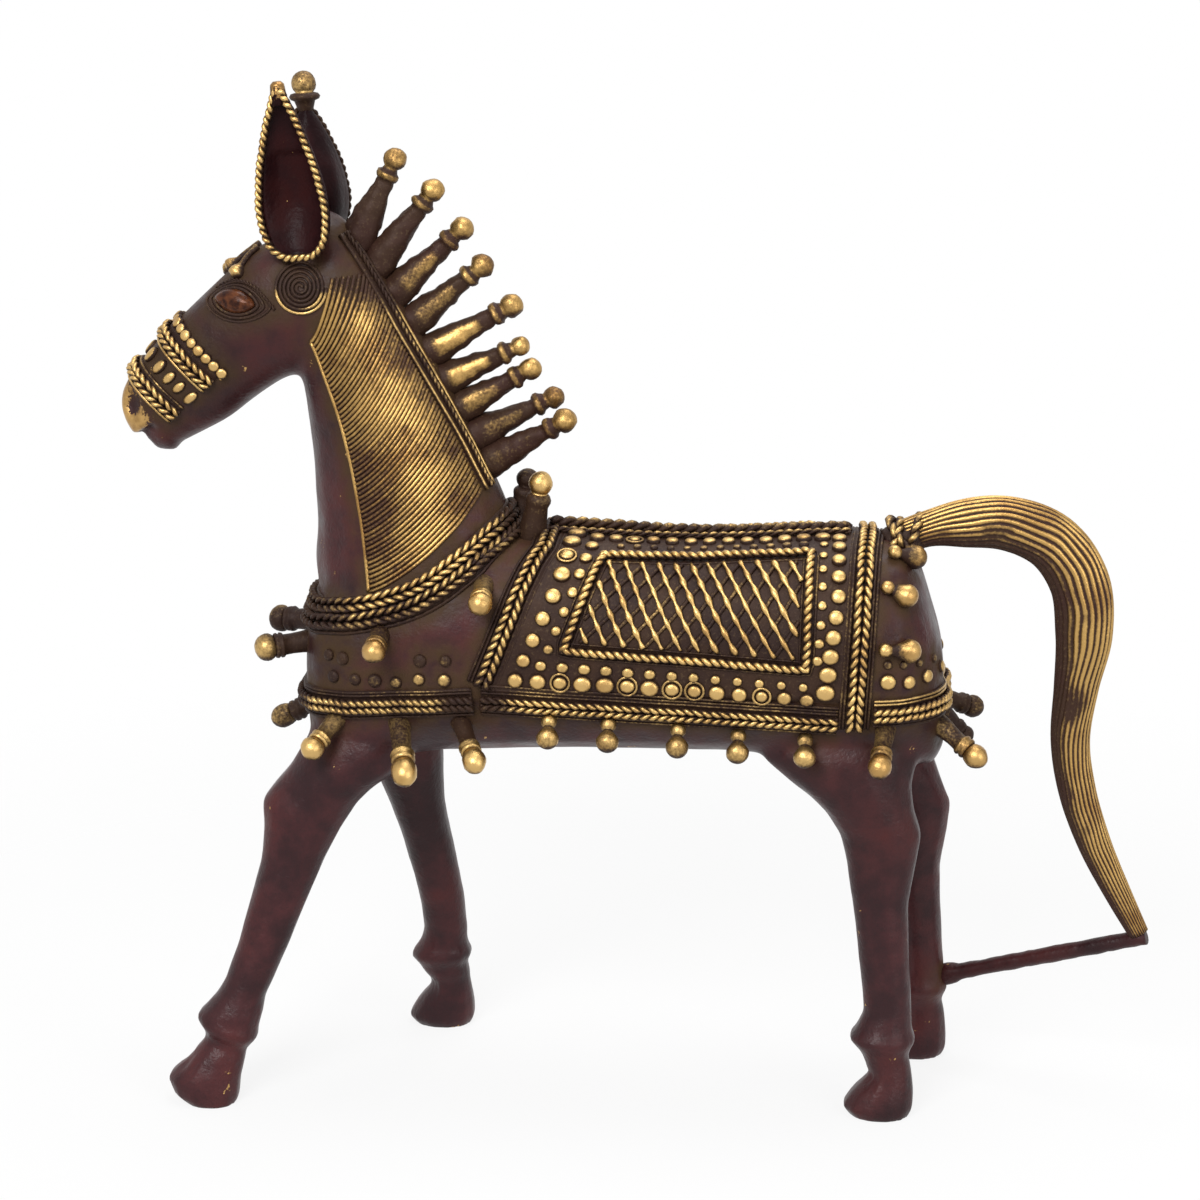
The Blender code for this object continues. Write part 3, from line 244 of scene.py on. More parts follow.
def evened(points, edges, rounds, weight):
    """Points drawn towards the middle of their neighbours, less where weight is small."""
    count = np.bincount(edges.ravel(), minlength=len(points))[:, None]
    for _ in range(rounds):
        total = np.zeros_like(points)
        for axis in range(3):
            total[:, axis] = np.bincount(edges[:, 0], points[edges[:, 1], axis], len(points))
            total[:, axis] += np.bincount(edges[:, 1], points[edges[:, 0], axis], len(points))
        points = points + 0.5 * weight[:, None] * (total / count - points)
    return points


def ramp(values, low, high):
    """Values eased from 0 at low to 1 at high."""
    t = np.clip((np.asarray(values, float) - low) / (high - low), 0, 1)
    return t * t * (3 - 2 * t)


def hill(values, middle, reach, power=2):
    """A smooth hill, 1 at its middle and low beyond its reach; a higher power makes it flatter on top."""
    return np.exp(-(((values - middle) / reach) ** power))


def lumps(points, size):
    """Smooth hand-made unevenness between -1 and 1."""
    return np.array([noise.noise(Vector(p) / size) for p in points])


def in_nostril(points, side):
    """Distance from a nostril's middle, 1 at its rim."""
    centre = np.array((NOSTRIL[0], side * NOSTRIL[1], NOSTRIL[2]))
    return np.linalg.norm((points - centre) / NOSTRIL_HALF, axis=1)


def from_mouth(points):
    """How far points lie ahead of the mouth's corner, and above its slit."""
    forward = np.array((-cos(MOUTH_SLOPE), 0, -sin(MOUTH_SLOPE)))
    upward = np.array((-sin(MOUTH_SLOPE), 0, cos(MOUTH_SLOPE)))
    away = points - np.array((MOUTH_CORNER[0], 0, MOUTH_CORNER[1]))
    return away @ forward, away @ upward


def model_muzzle(points, normals):
    """Cuts the mouth, sets the lower lip back behind the nose and sinks the nostrils."""
    ahead, above = from_mouth(points)
    on_muzzle = (points[:, 0] < MUZZLE_REAR) & (points[:, 2] > MUZZLE_FOOT)
    slit = ramp(ahead, 0, 3 * MM) * hill(above, 0, MOUTH_HALF_HEIGHT) * on_muzzle
    lip = ramp(ahead, -2 * MM, 7 * MM) * ramp(-above, 0, 1.6 * MM) * on_muzzle
    points = points - normals * (slit * MOUTH_DEPTH)[:, None] + np.outer(lip, LIP_SHIFT)
    for side in (-1, 1):
        sunk = NOSTRIL_DEPTH * hill(in_nostril(points, side), 0, 1, 4)
        points = points - normals * sunk[:, None]
    return points


def mm(*values):
    return np.array(values, float) * MM


def away_from(centre, points):
    """Distance of points from a place in millimetres."""
    return np.linalg.norm(points - mm(*centre), axis=1)


def thumbed(points, normals):
    """Presses shallow hollows and raises low swellings where the wax was modelled by hand."""
    for centre, reach, height in THUMB_MARKS:
        mark = height * MM * hill(away_from(centre, points), 0, reach * MM)
        points = points + normals * mark[:, None]
    return points


def cuff_fetlocks(points, normals):
    """Turns each fetlock into a cuff with a lower rim, over a narrower pastern."""
    outward = normals * (1, 1, 0)
    (rim, *rim_place), (groove, *groove_place) = CUFF_RIM, CUFF_GROOVE
    for (fore, side), (middle, height, slope, drop, depth) in FETLOCKS.items():
        on_leg = (points[:, 2] < FETLOCK_TOP) & (points[:, 0] * fore > 0) & (points[:, 1] * side > 0)
        above = (points[:, 2] / MM - height + slope * (points[:, 0] / MM - middle)) * on_leg
        push = rim * hill(above, *rim_place) - groove * hill(above, *groove_place)
        push -= depth * hill(above, -drop, PASTERN_REACH) * ramp(-normals[:, 0], 0.1, 0.7)
        points = points + outward * (push * on_leg * MM)[:, None]
    return points


skin_mesh = poured_skin([*BODY_NODES, "clay_core"])
skin_points = vectors_of(skin_mesh, "co")
skin_edges = np.array([e.vertices[:] for e in skin_mesh.edges])
evening = np.interp(skin_points[:, 2], *zip(*LEG_EVENING))
evening *= np.interp(skin_points[:, 0], *zip(*MUZZLE_EVENING))
skin_points = evened(skin_points, skin_edges, EVENING_ROUNDS, evening)
store_points(skin_mesh, skin_points)
skin_normals = vectors_of(skin_mesh, "normal")
skin_points = cuff_fetlocks(thumbed(skin_points, skin_normals), skin_normals)
skin_points = model_muzzle(skin_points, skin_normals)
skin_points += skin_normals * (lumps(skin_points, LUMP_SIZE) * LUMP_HEIGHT)[:, None]
skin_points[:, 2] = np.maximum(skin_points[:, 2], 0.0)
store_points(skin_mesh, skin_points)
skin = BVHTree.FromPolygons(skin_points, [p.vertices for p in skin_mesh.polygons])

PLUM_SHADES = ((0.028, 0.0092, 0.0108), (0.064, 0.0175, 0.019), (0.1, 0.018, 0.015))
PATINA_PITS, GRIME_OLIVE, DARKENING_BLACK = (0.02, 0.01, 0.011), (0.056, 0.03, 0.012), (0.012, 0.005, 0.0045)
DULL_BRASS, BARE_BRASS = (0.24, 0.13, 0.045), (0.5, 0.31, 0.115)


def lacquered_patina(name, strength, gloss):
    """Plum-brown patina, redder where it is thin, olive under grime, brass where it is worn through."""
    finish = Finish(name)
    dark, light, red_end = (tuple(c * strength for c in shade) for shade in PLUM_SHADES)
    broad, mottle, fine = finish.grain(22 * MM, 2.0), finish.grain(6 * MM, 4.0), finish.grain(0.9 * MM, 3.0)
    cloudy = finish.plus(finish.times(broad, 0.6), finish.times(mottle, 0.4))
    plum = finish.blend(finish.ease(cloudy, 0.38, 0.62), dark, light)
    plum = finish.blend(finish.ease(fine, 0.5, 0.75, 0.0, 0.35), plum, PATINA_PITS)
    red = finish.times(finish.ease(broad, 0.52, 0.72), finish.ease(mottle, 0.3, 0.75))
    colour = finish.blend(finish.times(red, 0.5), plum, red_end)
    grime = finish.times(finish.worn("grime"), finish.ease(mottle, 0.25, 0.6))
    colour = finish.blend(grime, colour, GRIME_OLIVE)
    colour = finish.blend(finish.worn("darkening"), colour, DARKENING_BLACK)
    speckle = finish.times(finish.ease(fine, 0.3, 0.7, -0.5, 0.5), 0.6)
    rubbed = finish.ease(finish.plus(finish.worn("rub"), speckle), 0.4, 0.7)
    fleck = finish.ease(finish.times(fine, finish.ease(mottle, 0.6, 0.72)), 0.52, 0.6)
    bright = finish.most(rubbed, fleck)
    brass = finish.blend(finish.ease(mottle, 0.36, 0.6), DULL_BRASS, BARE_BRASS)
    colour = finish.blend(bright, colour, brass)
    roughness = finish.plus(finish.ease(mottle, 0.2, 0.8, 0.27, 0.45), finish.times(grime, 0.25))
    height = finish.plus(finish.times(fine, 0.35), mottle)
    return finish.dress(colour, roughness, finish.ease(bright, 0.0, 1.0), height, 0.35 * MM, gloss)


patina = lacquered_patina("lacquered_patina", 1.0, 0.2)
# A point on each seam and the direction square to it
LEG_SEAM = ((0, 0, 82 * MM), (0, 0, 1))
NECK_SEAM = ((-55.5 * MM, 0, 133 * MM), (-sin(radians(24)), 0, cos(radians(24))))
HEAD_SEAM = ((-79 * MM, 0, 202 * MM), (-0.925, 0, 0.379))


def parted(shape, seam, above):
    """The part of a closed shape on one side of a flat seam, closed again there."""
    half = shape.copy()
    point, normal = seam
    geometry = [*half.verts, *half.edges, *half.faces]
    bmesh.ops.bisect_plane(
        half, geom=geometry, plane_co=point, plane_no=normal, clear_inner=above, clear_outer=not above
    )
    rim = [edge for edge in half.edges if edge.is_boundary]
    bmesh.ops.edgeloop_fill(half, edges=rim)
    bmesh.ops.recalc_face_normals(half, faces=half.faces)
    return half


body_pieces = {}


def cast_body(node, shape):
    mesh = bpy.data.meshes.new(node + "_cast")
    shape.to_mesh(mesh)
    shape.free()
    mesh.shade_smooth()
    mesh.set_sharp_from_angle(angle=radians(60))
    mesh.materials.append(patina)
    piece = link(node + "_cast", mesh)
    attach(piece, "root")
    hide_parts(node)
    body_pieces[node] = piece


whole = bmesh.new()
whole.from_mesh(skin_mesh)
upper, lower = parted(whole, NECK_SEAM, True), parted(whole, NECK_SEAM, False)
cast_body("head", parted(upper, HEAD_SEAM, True))
cast_body("neck", parted(upper, HEAD_SEAM, False))
cast_body("torso", parted(lower, LEG_SEAM, True))
legs = parted(lower, LEG_SEAM, False)
for fore, end in ((-1, "front"), (1, "hind")):
    for side, label in reversed(SIDES):
        leg = legs.copy()
        others = [v for v in leg.verts if v.co.x * fore < 0 or v.co.y * side < 0]
        bmesh.ops.delete(leg, geom=others, context="VERTS")
        cast_body(f"{end}_{label}_leg", leg)
for shape in (whole, upper, lower, legs):
    shape.free()


# Tail, its knot and its brace
# The tail is a solid arm of brass combed into locks, bound at its root with a twisted wax cord. A straight
# runner from the pour is left between its tip and the right hind leg, and keeps the tip from being bent.

# Stations down the tail: x, z, half width, half depth (mm)
TAIL_ROUTE = (
    (66, 143.5, 3.6, 4.2),
    (72, 145.6, 3.9, 4.6),
    (80, 147, 4.8, 6),
    (91, 147.2, 5.6, 6.8),
    (102.4, 142.5, 6, 7.3),
    (109, 133, 6, 7.4),
    (110.7, 120, 5.8, 7.1),
    (109.3, 106, 5, 5.6),
    (108.3, 92, 4.6, 4.9),
    (110.5, 79, 4.4, 4.7),
    (115.2, 65.5, 4, 4.2),
    (121.5, 52.5, 3.2, 3.4),
    (127.2, 41.8, 2.2, 2.6),
)
TAIL_LOCKS, POINTS_PER_LOCK, LOCK_DEPTH = 25, 7, 0.1
KNOT_CORE = ((-4.2, 3.8), (-3, 4.4), (0, 4.7), (3.2, 4.4), (4.6, 3.8))
# Cords of the knot: distance along the tail, radius (mm), tilt (degrees)
KNOT_LOOPS, KNOT_CORD = ((-2.4, 5.4, 34), (0.6, 5.7, -20), (2.4, 5.3, 36)), (1.3, 2.3)
BRACE_LEG_END = (76.5, 19, 21.5)
# Profile of a pressed ball of wax: radius, height, rub
PRESSED_BALL = (
    (0.9, -0.5, 0), (1, 0, 0.2), (0.95, 0.42, 0.45), (0.81, 0.75, 0.85), (0.52, 0.94, 1), (0.06, 1, 1)
)
# Places that a hand hardly gets at: middle, reach (mm), and the share of their shine that they keep
DULL_PLACES = (
    ((-31, 0, 145), 11, 0.35),
    ((-84, 0, 104), 16, 0.6),
    ((-80, 0, 124), 22, 0.55),
    ((-66, 0, 212), 15, 0.6),
    ((-38, -27, 104), 8, 0.5),
    ((-38, 27, 104), 8, 0.5),
    ((88, 9, 98), 10, 0.5),
    ((84, 5, 88), 7, 0.5),
    ((107, -5, 103), 5, 0.6),
    ((-29, 6, 157), 5, 0.6),
    ((-93, 12, 90), 9, 0.65),
)
THREAD_GOLD, THREAD_BROWN = (0.6, 0.395, 0.15), (0.026, 0.012, 0.009)
TAIL_GOLD, TAIL_BROWN = (0.5, 0.31, 0.105), (0.04, 0.016, 0.011)
OLD_BROWN, PIT_DUST, BRONZE_SHARE = (0.042, 0.02, 0.011), (0.115, 0.072, 0.036), (0.7, 0.63, 0.58)

relief_points = []


def run_of(points, closed=False):
    """Distance along a path at each of its points, and once more at the start if it is closed."""
    path = np.vstack([points, points[:1]]) if closed else points
    return np.r_[0, np.cumsum(np.linalg.norm(np.diff(path, axis=0), axis=1))]


def curve(rows, count):
    """Rows read off a smooth curve through the given ones, at even steps along their first three columns."""
    rows = np.asarray(rows, float)
    run = run_of(rows[:, :3])
    slope = np.gradient(rows, run, axis=0)
    at = np.linspace(0, run[-1], count)
    i = np.clip(np.searchsorted(run, at, side="right") - 1, 0, len(run) - 2)
    h = (run[i + 1] - run[i])[:, None]
    t = (at - run[i])[:, None] / h
    start = (1 + 2 * t) * (1 - t) ** 2 * rows[i] + t * (1 - t) ** 2 * h * slope[i]
    return start + t * t * (3 - 2 * t) * rows[i + 1] + t * t * (t - 1) * h * slope[i + 1]


def read_off(at, run, rows):
    """Rows between the given ones, at distances along their run."""
    return np.column_stack([np.interp(at, run, column) for column in rows.T])


def followed(points, outs, count, closed=False):
    """A path and its outward directions at count even steps."""
    run = run_of(points, closed)
    at = np.linspace(0, run[-1], count, endpoint=not closed)
    if closed:
        points, outs = np.vstack([points, points[:1]]), np.vstack([outs, outs[:1]])
    return read_off(at, run, points), unit(read_off(at, run, outs))


def lying(points, outs, closed=False):
    """Directions across a path and out of it, square to the path."""
    along = np.roll(points, -1, 0) - np.roll(points, 1, 0) if closed else np.gradient(points, axis=0)
    along = unit(along)
    outs = unit(outs - along * np.sum(outs * along, axis=1, keepdims=True))
    return np.cross(outs, along), outs


def steps_round(count):
    """Even steps of angle round a circle."""
    return 2 * pi * np.arange(count) / count


def circle(count, first, second, oval=1.0):
    """Directions at even steps round a circle from first towards second, drawn out along first by oval."""
    angle = steps_round(count)
    return np.outer(np.cos(angle) * oval, first) + np.outer(np.sin(angle), second)


def handled(points):
    """How much of its shine a place keeps, by how easily a hand or cloth gets at it."""
    keep = np.ones(len(points))
    for centre, reach, share in DULL_PLACES:
        away = away_from(centre, points)
        keep *= share + (1 - share) * ramp(away, 0.6 * reach * MM, 1.4 * reach * MM)
    return keep


def store_measure(mesh, name, values):
    mesh.attributes.new(name, "FLOAT", "POINT").data.foreach_set("value", values)


class Wax:
    """Threads, balls and strips laid together to be cast as one piece, with how far each point is rubbed
    (painted shade lowers it).

    Places are in metres; radii, grains and profiles are in millimetres.
    """

    def __init__(self):
        self.points, self.faces, self.rub = [], [], []
        self.count = 0

    def loft(self, rings, rub, closed=False):
        """Skins a row of equal rings; rub holds one value for each point, or for each side."""
        rings = np.asarray(rings, float)
        rows, sides = rings.shape[:2]
        low = np.arange(rows * sides).reshape(rows, sides) + self.count
        high = np.roll(low, -1, axis=0) if closed else low[1:]
        low = low if closed else low[:-1]
        quads = np.stack([low, np.roll(low, -1, 1), np.roll(high, -1, 1), high], axis=-1).reshape(-1, 4)
        self.faces += quads.tolist()
        self.points.append(rings.reshape(-1, 3))
        self.rub.append(np.broadcast_to(rub, (rows, sides)).ravel())
        first, last = self.count, self.count + (rows - 1) * sides
        self.count += rows * sides
        if not closed:
            self.faces.append(list(range(first + sides - 1, first - 1, -1)))
            self.faces.append(list(range(last, last + sides)))

    def tube(self, points, outs, radii, sides=6, level=1.0, closed=False, base=None, height=None):
        """A thread along a path; it is rubbed by its height over base, up to level at the top."""
        across, outs = lying(points, outs, closed)
        angle = steps_round(sides)[None, :, None]
        radii = np.broadcast_to(radii, len(points))[:, None, None] * MM
        rings = points[:, None] + radii * (np.cos(angle) * across[:, None] + np.sin(angle) * outs[:, None])
        base = points - outs * radii[:, 0] if base is None else base
        height = 2 * radii[:, :, 0] if height is None else height * MM
        rise = np.einsum("ijk,ik->ij", rings - base[:, None], outs) / height
        level = np.broadcast_to(level, len(points))[:, None]
        self.loft(rings, np.clip(rise, 0, 1) * level, closed)

    def twist(self, points, outs, radius, grain, hand=1, level=1.0, closed=False):
        """Two threads twisted into a cord that lies on a path; grain is the step from one lay to the next."""
        turns = max(2, round(run_of(points, closed)[-1] / (2 * grain * MM)))
        count = turns * 8 if closed else turns * 8 + 1
        base, outs = followed(points, outs, count, closed)
        across, outs = lying(base, outs, closed)
        thick = radius * MM
        centre = base + outs * thick
        lay = hand * 2 * pi * turns * np.arange(count) / (turns * 8)
        wander = 0.06 * thick * np.sin(0.37 * lay + 5 * turns)
        for start in (0, pi):
            swing = across * np.cos(lay + start)[:, None] + outs * np.sin(lay + start)[:, None]
            strand = centre + 0.5 * thick * swing + across * wander[:, None]
            swell = radius * (0.53 + 0.11 * np.sin(lay + start) + 0.04 * np.sin(1.7 * lay + start))
            self.tube(strand, outs, swell, level=level, closed=closed, base=base, height=2.1 * radius)

    def turned(self, root, way, profile, sides=14, rough=0.0, filed=0.0):
        """A pin from (distance, radius, rub) steps, uneven by rough; filed is the rub on its two cheeks."""
        way = Vector(way).normalized()
        across = way.orthogonal().normalized()
        swing = circle(sides, np.array(across), np.array(way.cross(across)))
        distance, radius, rub = (np.array(profile, float) * (MM, MM, 1)).T
        rings = np.asarray(root) + distance[:, None, None] * np.array(way) + radius[:, None, None] * swing
        if rough:
            shift = lumps(rings.reshape(-1, 3), 2.2 * MM).reshape(rings.shape[:2])
            rings = rings + (rough * MM * shift)[:, :, None] * swing
        cheeks = np.outer(np.broadcast_to(filed, len(rub)), ramp(np.abs(swing[:, 1]), 0.6, 0.9))
        self.loft(rings, np.maximum(rub[:, None], cheeks))

    def stud(self, place, out, radius, height=0.85, level=1.0, sides=14, oval=1.0, along=None):
        """A pressed ball of wax with a flattened top, drawn out along a direction where oval is over 1."""
        lean = Vector(out).orthogonal() if along is None else Vector(along)
        out = Vector(out).normalized()
        first = (lean - out * lean.dot(out)).normalized()
        wide = circle(sides, first, out.cross(first), oval)
        rings = [place + radius * MM * (r * wide + height * h * np.array(out)) for r, h, _ in PRESSED_BALL]
        self.loft(rings, np.array([[share * level] for _, _, share in PRESSED_BALL]))

    def hoop(self, place, out, radius, thread):
        """A thread laid round a stud."""
        out = Vector(out).normalized()
        first = out.orthogonal().normalized()
        ring = place + radius * MM * circle(20, first, out.cross(first))
        self.tube(ring, np.tile(np.array(out), (20, 1)), thread, level=0.8, closed=True)

    def sheet(self, top, bottom, rub, closed=False):
        """A sheet between two grids of points that share their layout, top facing out and rubbed."""
        self.loft(np.concatenate([top, bottom[:, ::-1]], axis=1), np.repeat((rub, 0.0), top.shape[1]), closed)

    def cast(self, name, node, finish=None):
        """One finished piece that stands for a solid; thread brass unless a finish is given."""
        points = np.vstack(self.points)
        mesh = bpy.data.meshes.new(name)
        mesh.from_pydata(points, [], self.faces)
        # Faces that look down keep less rub: painted shade under the relief.
        under = ramp(-vectors_of(mesh, "normal")[:, 2], 0.15, 0.95)
        store_measure(mesh, "rub", np.concatenate(self.rub) * handled(points) * (1 - 0.45 * under))
        mesh.shade_smooth()
        mesh.materials.append(finish or thread_brass)
        piece = link(name, mesh)
        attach(piece, "root")
        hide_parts(node)
        relief_points.extend(points[::5])


def worked_brass(name, bright, hollow, low, high):
    """Brass thread work: gold where it is rubbed, brown where it is not or where shade is painted, finely
    pitted all over.
    """
    finish = Finish(name)
    patch, pit = finish.grain(13 * MM, 3.0), finish.grain(0.7 * MM, 4.0, 0.65)
    blotch, speckle = finish.ease(patch, 0.3, 0.7, -0.08, 0.08), finish.ease(pit, 0.25, 0.75, -0.09, 0.09)
    share = finish.ease(finish.plus(finish.worn("rub"), finish.plus(blotch, speckle)), low, high)
    brown = finish.blend(finish.ease(patch, 0.35, 0.65), hollow, OLD_BROWN)
    brown = finish.blend(finish.ease(pit, 0.54, 0.72, 0.0, 0.6), brown, PIT_DUST)
    bronze = tuple(c * dimming for c, dimming in zip(bright, BRONZE_SHARE))
    gold = finish.blend(finish.ease(patch, 0.3, 0.55), bronze, bright)
    metallic = finish.ease(share, 0.0, 0.6, 0.15, 1.0)
    roughness = finish.plus(finish.ease(share, 0.0, 1.0, 0.5, 0.3), finish.ease(pit, 0.3, 0.8, 0.08, 0.0))
    return finish.dress(finish.blend(share, brown, gold), roughness, metallic, pit, 0.1 * MM, 0.2)


thread_brass = worked_brass("thread_brass", THREAD_GOLD, THREAD_BROWN, 0.48, 0.9)
tail_brass = worked_brass("tail_brass", TAIL_GOLD, TAIL_BROWN, 0.42, 0.92)

tail_rows = curve([(x, 0, z, w, d) for x, z, w, d in TAIL_ROUTE], 110) * MM
tail_centre, tail_half = tail_rows[:, :3], tail_rows[:, 3:]
tail_along = unit(np.gradient(tail_centre, axis=0))
tail_outer = np.column_stack([-tail_along[:, 2], np.zeros(len(tail_along)), tail_along[:, 0]])
angle = steps_round(TAIL_LOCKS * POINTS_PER_LOCK)
swirl = 0.25 * np.sin(np.linspace(0, 5, len(tail_rows)))[:, None]
wear = np.array([lumps(tail_centre + 7 * MM * np.array((cos(a), sin(a), 0)), 8 * MM) for a in angle]).T
lock = np.abs(np.sin(TAIL_LOCKS / 2 * (angle + swirl) + 1.3 * wear))
outer = np.sin(angle)[None, :]
worn_flat = ramp(wear, -0.15, 0.25) * hill(outer, -0.2, 0.35)
scraped = worn_flat * ramp(wear, 0.1, 0.3)
scale = 1 - LOCK_DEPTH * (1 - lock**0.8) * (1 - 0.8 * worn_flat) - 0.05 * scraped
rings = tail_centre[:, None] + scale[:, :, None] * (
    np.cos(angle)[None, :, None] * tail_half[:, None, :1] * np.array((0, 1, 0))
    + np.sin(angle)[None, :, None] * tail_half[:, None, 1:] * tail_outer[:, None]
)
# The inner side of the arch is painted darker as shade: its rub falls to 0.3 of the outer side's.
shine = 0.3 + 0.7 * ramp(outer, -0.9, -0.1)
tail = Wax()
tail.loft(rings, shine * (0.05 + 0.95 * lock**0.9) * (1 - 0.35 * scraped))
tail.cast("tail_locks", "tail", finish=tail_brass)

knot = Wax()
way, across = tail_along[4], np.array((0, 1, 0))
centre = tail_centre[0] + mm(-0.6, 0, -1.2)
knot.turned(centre, way, [(d, r, 0.1) for d, r in KNOT_CORE], rough=0.3)
for distance, radius, tilt in KNOT_LOOPS:
    lean = np.cross(way, across) * cos(radians(tilt)) + way * sin(radians(tilt))
    swing = circle(40, across, lean)
    loop = centre + way * distance * MM + (radius - 1.0) * MM * swing
    knot.twist(loop, swing, *KNOT_CORD, level=0.82, closed=True)
knot.cast("tail_knot", "tail_ring")

brace = Wax()
start, end = tail_centre[-1] + mm(0.4, 0, -1.2), mm(*BRACE_LEG_END)
reach = float(np.linalg.norm(end - start)) / MM
steps = np.linspace(-0.025, 1, 40)
thick = 2.05 + 0.1 * np.sin(steps * 19) * np.sin(steps * 47 + 1) + 0.9 * ramp(steps, 0.86, 0.92)
brace.turned(start, end - start, [(s * reach, r, 0.12) for s, r in zip(steps, thick)], 16, 0.18)
brace.cast("tail_runner", "tail_brace", lacquered_patina("runner_patina", 0.62, 0.2))


# Ears
# Two cupped leaves pinched from sheet wax and pressed on the poll, each rimmed with a twisted cord.
# The left one ends in a blunt stub, the right one in a ball on a ring.

EAR_BASE, EAR_TIP = (-81.2, -12.5, 212), (-84.9, -14, 253.2)
EAR_FACING = (-0.32, -0.94, 0.0)
EAR_HALF_WIDTH, EAR_CUP, EAR_WALL = 9.0, 5.0, 2.0
EAR_TAPER = {"left": 0.54, "right": 0.64}
RIGHT_EAR_SHIFT = ((-0.4, 0, 0), (1.1, 0, -6.3))
POCKET_TOP, POCKET_DEPTH = 0.64, 1.9
EAR_CORD = (1.05, 1.85)
# Profiles of the left ear's stub and the ring under the right ear's ball: distance, radius (mm), rub
EAR_STUB = ((-4, 2.1, 0.3), (-1, 1.9, 0.5), (0.8, 1.7, 0.8), (1.5, 1.0, 0.9))
EAR_RING = (
    (-3, 1.4, 0.1), (-0.6, 2.2, 0.1), (0.7, 2.6, 0.2), (1.1, 3.6, 0.4), (1.8, 3.9, 0.5), (2.5, 3.4, 0.3)
)


def ball(centre, radius, start=-60.0, rub=1.0):
    """Profile steps of a ball whose middle is centre along its pin."""
    turns = np.radians(np.linspace(start, 88, 9))
    return [(centre + radius * sin(a), radius * cos(a), rub) for a in turns]


# The ears' patina is dimmed to 0.42 as painted shade for their deep pockets, and its gloss is cut low.
ear_patina_painted_shade = lacquered_patina("ear_patina_painted_shade", 0.42, 0.06)
for side, label in SIDES:
    base, tip, facing = (np.array(v, float) * (1, -side, 1) for v in (EAR_BASE, EAR_TIP, EAR_FACING))
    if side > 0:
        base, tip = base + RIGHT_EAR_SHIFT[0], tip + RIGHT_EAR_SHIFT[1]
    base, tip = base * MM, tip * MM
    upward = unit(tip - base)
    facing = unit(facing - upward * (facing @ upward))
    across = np.cross(upward, facing)
    reach = float(np.linalg.norm(tip - base))
    spread = np.linspace(-1, 1, 21)
    inset = 1 - abs(spread)
    bowl, back = [], []
    for u in np.linspace(0.012, 0.985, 44):
        full = sin(pi * u ** EAR_TAPER[label]) ** 0.75
        line = base + upward * u * reach + np.outer(spread * EAR_HALF_WIDTH * MM * full, across)
        cup = EAR_CUP * full * (1 - spread**2)
        under_lip = POCKET_DEPTH * (1 - ramp(u, POCKET_TOP - 0.05, POCKET_TOP))
        pocket = under_lip * ramp(inset, 0.1, 0.32) * ramp(u, 0.08, 0.36)
        swelling = POCKET_DEPTH * (1 - ramp(u, 0.45, 0.85)) * ramp(inset, 0.0, 0.4)
        wall = EAR_WALL * (0.35 + 0.65 * full) * (1.15 - 0.4 * spread**2)
        bowl.append(line - np.outer((cup + pocket * full) * MM, facing))
        back.append(line - np.outer((cup + swelling * full + wall) * MM, facing))
    ear = Wax()
    ear.sheet(np.array(bowl), np.array(back), 0.12)
    if side < 0:
        ear.turned(tip - across * 0.5 * MM, upward, EAR_STUB, 12)
    ear.cast(label + "_ear_cup", label + "_ear", ear_patina_painted_shade)
    rim = np.array([r[0] for r in bowl] + [r[-1] for r in bowl[::-1]])
    rim, ways = followed(rim, np.tile(facing, (len(rim), 1)), 120, True)
    cord = Wax()
    cord.twist(rim - facing * 0.2 * MM, ways, *EAR_CORD, hand=-1, closed=True)
    cord.cast(label + "_ear_cord", label + "_ear_rope")
    if side > 0:
        knob = Wax()
        knob.turned(tip, upward, [*EAR_RING, *ball(5.0, 3.1, -45, 0.7)], 18, 0.15)
        knob.cast("right_ear_ball", "right_ear_knob")


# Eyes, cheek spirals and forelock
# Each eye is a drop of wax in three thread lids under a plaited brow. The cheek spirals are one thread coiled
# flat, and three threads ending in drops hang from the poll as a forelock.

# How far out a look in at the skin starts (metres)
LOOK_FROM = 0.2
EYE_PLACE, EYE_HALF, EYE_LINE = (-97.8, 201.3), (6.2, 3.2), (-0.97, 0, 0.2)
EYE_DARK, EYE_RED = (0.024, 0.0065, 0.004), (0.13, 0.042, 0.016)
# Share of the eye's outline and height (mm) of each step of the drop
EYE_DOME = ((0.9, -0.8), (0.9, 0.2), (0.84, 0.9), (0.68, 1.55), (0.45, 1.95), (0.2, 2.15), (0.04, 2.2))
# Share of the eye's outline, thread (mm) and shine of each lid
LIDS = ((1.02, 0.5, 0.5), (1.28, 0.42, 0.35), (1.56, 0.36, 0.3))
BROW = ((-103.2, 203.6), (-100, 205.6), (-94.1, 205.6), (-90.7, 203.2), (-87.6, 199.6))
BROW_CORD = (0.45, 1.1)
SPIRAL_PLACE, SPIRAL_TURNS, SPIRAL_RADII, SPIRAL_THREAD = (-81.3, 205), 6, (0.4, 6.5), 0.46
FORELOCK_ROOT = (-87.5, 205)
FORELOCK_DROPS = ((-92.6, -7.4, 199.0), (-95.6, -2.4, 200.8), (-97.6, 3, 199.3))
FORELOCK_THREAD = ((0, 1.0), (0.2, 0.75), (0.62, 0.8), (0.78, 2.0), (0.9, 2.2), (1, 0.8))
FORELOCK_SHINE = ((0, 0.65), (0.6, 0.7), (0.8, 0.95))


def looked_in(centre, way):
    """Where the skin is met when looking in at centre from outside along way, and its outward direction."""
    way = Vector(way).normalized()
    hit, normal, _, _ = skin.ray_cast(Vector(centre) + way * LOOK_FROM, -way)
    return np.array(hit), np.array(normal)


def laid(centres, ways, rounds=4, closed=False):
    """A path on the skin, with its outward directions evened out."""
    found = [looked_in(c, w) for c, w in zip(centres, ways)]
    points, outs = (np.array(v) for v in zip(*found))
    for _ in range(rounds):
        if closed:
            outs = unit(np.roll(outs, 1, 0) + 2 * outs + np.roll(outs, -1, 0))
        else:
            padded = np.vstack([outs[:1], outs, outs[-1:]])
            outs = unit(padded[:-2] + 2 * outs + padded[2:])
    return points, outs


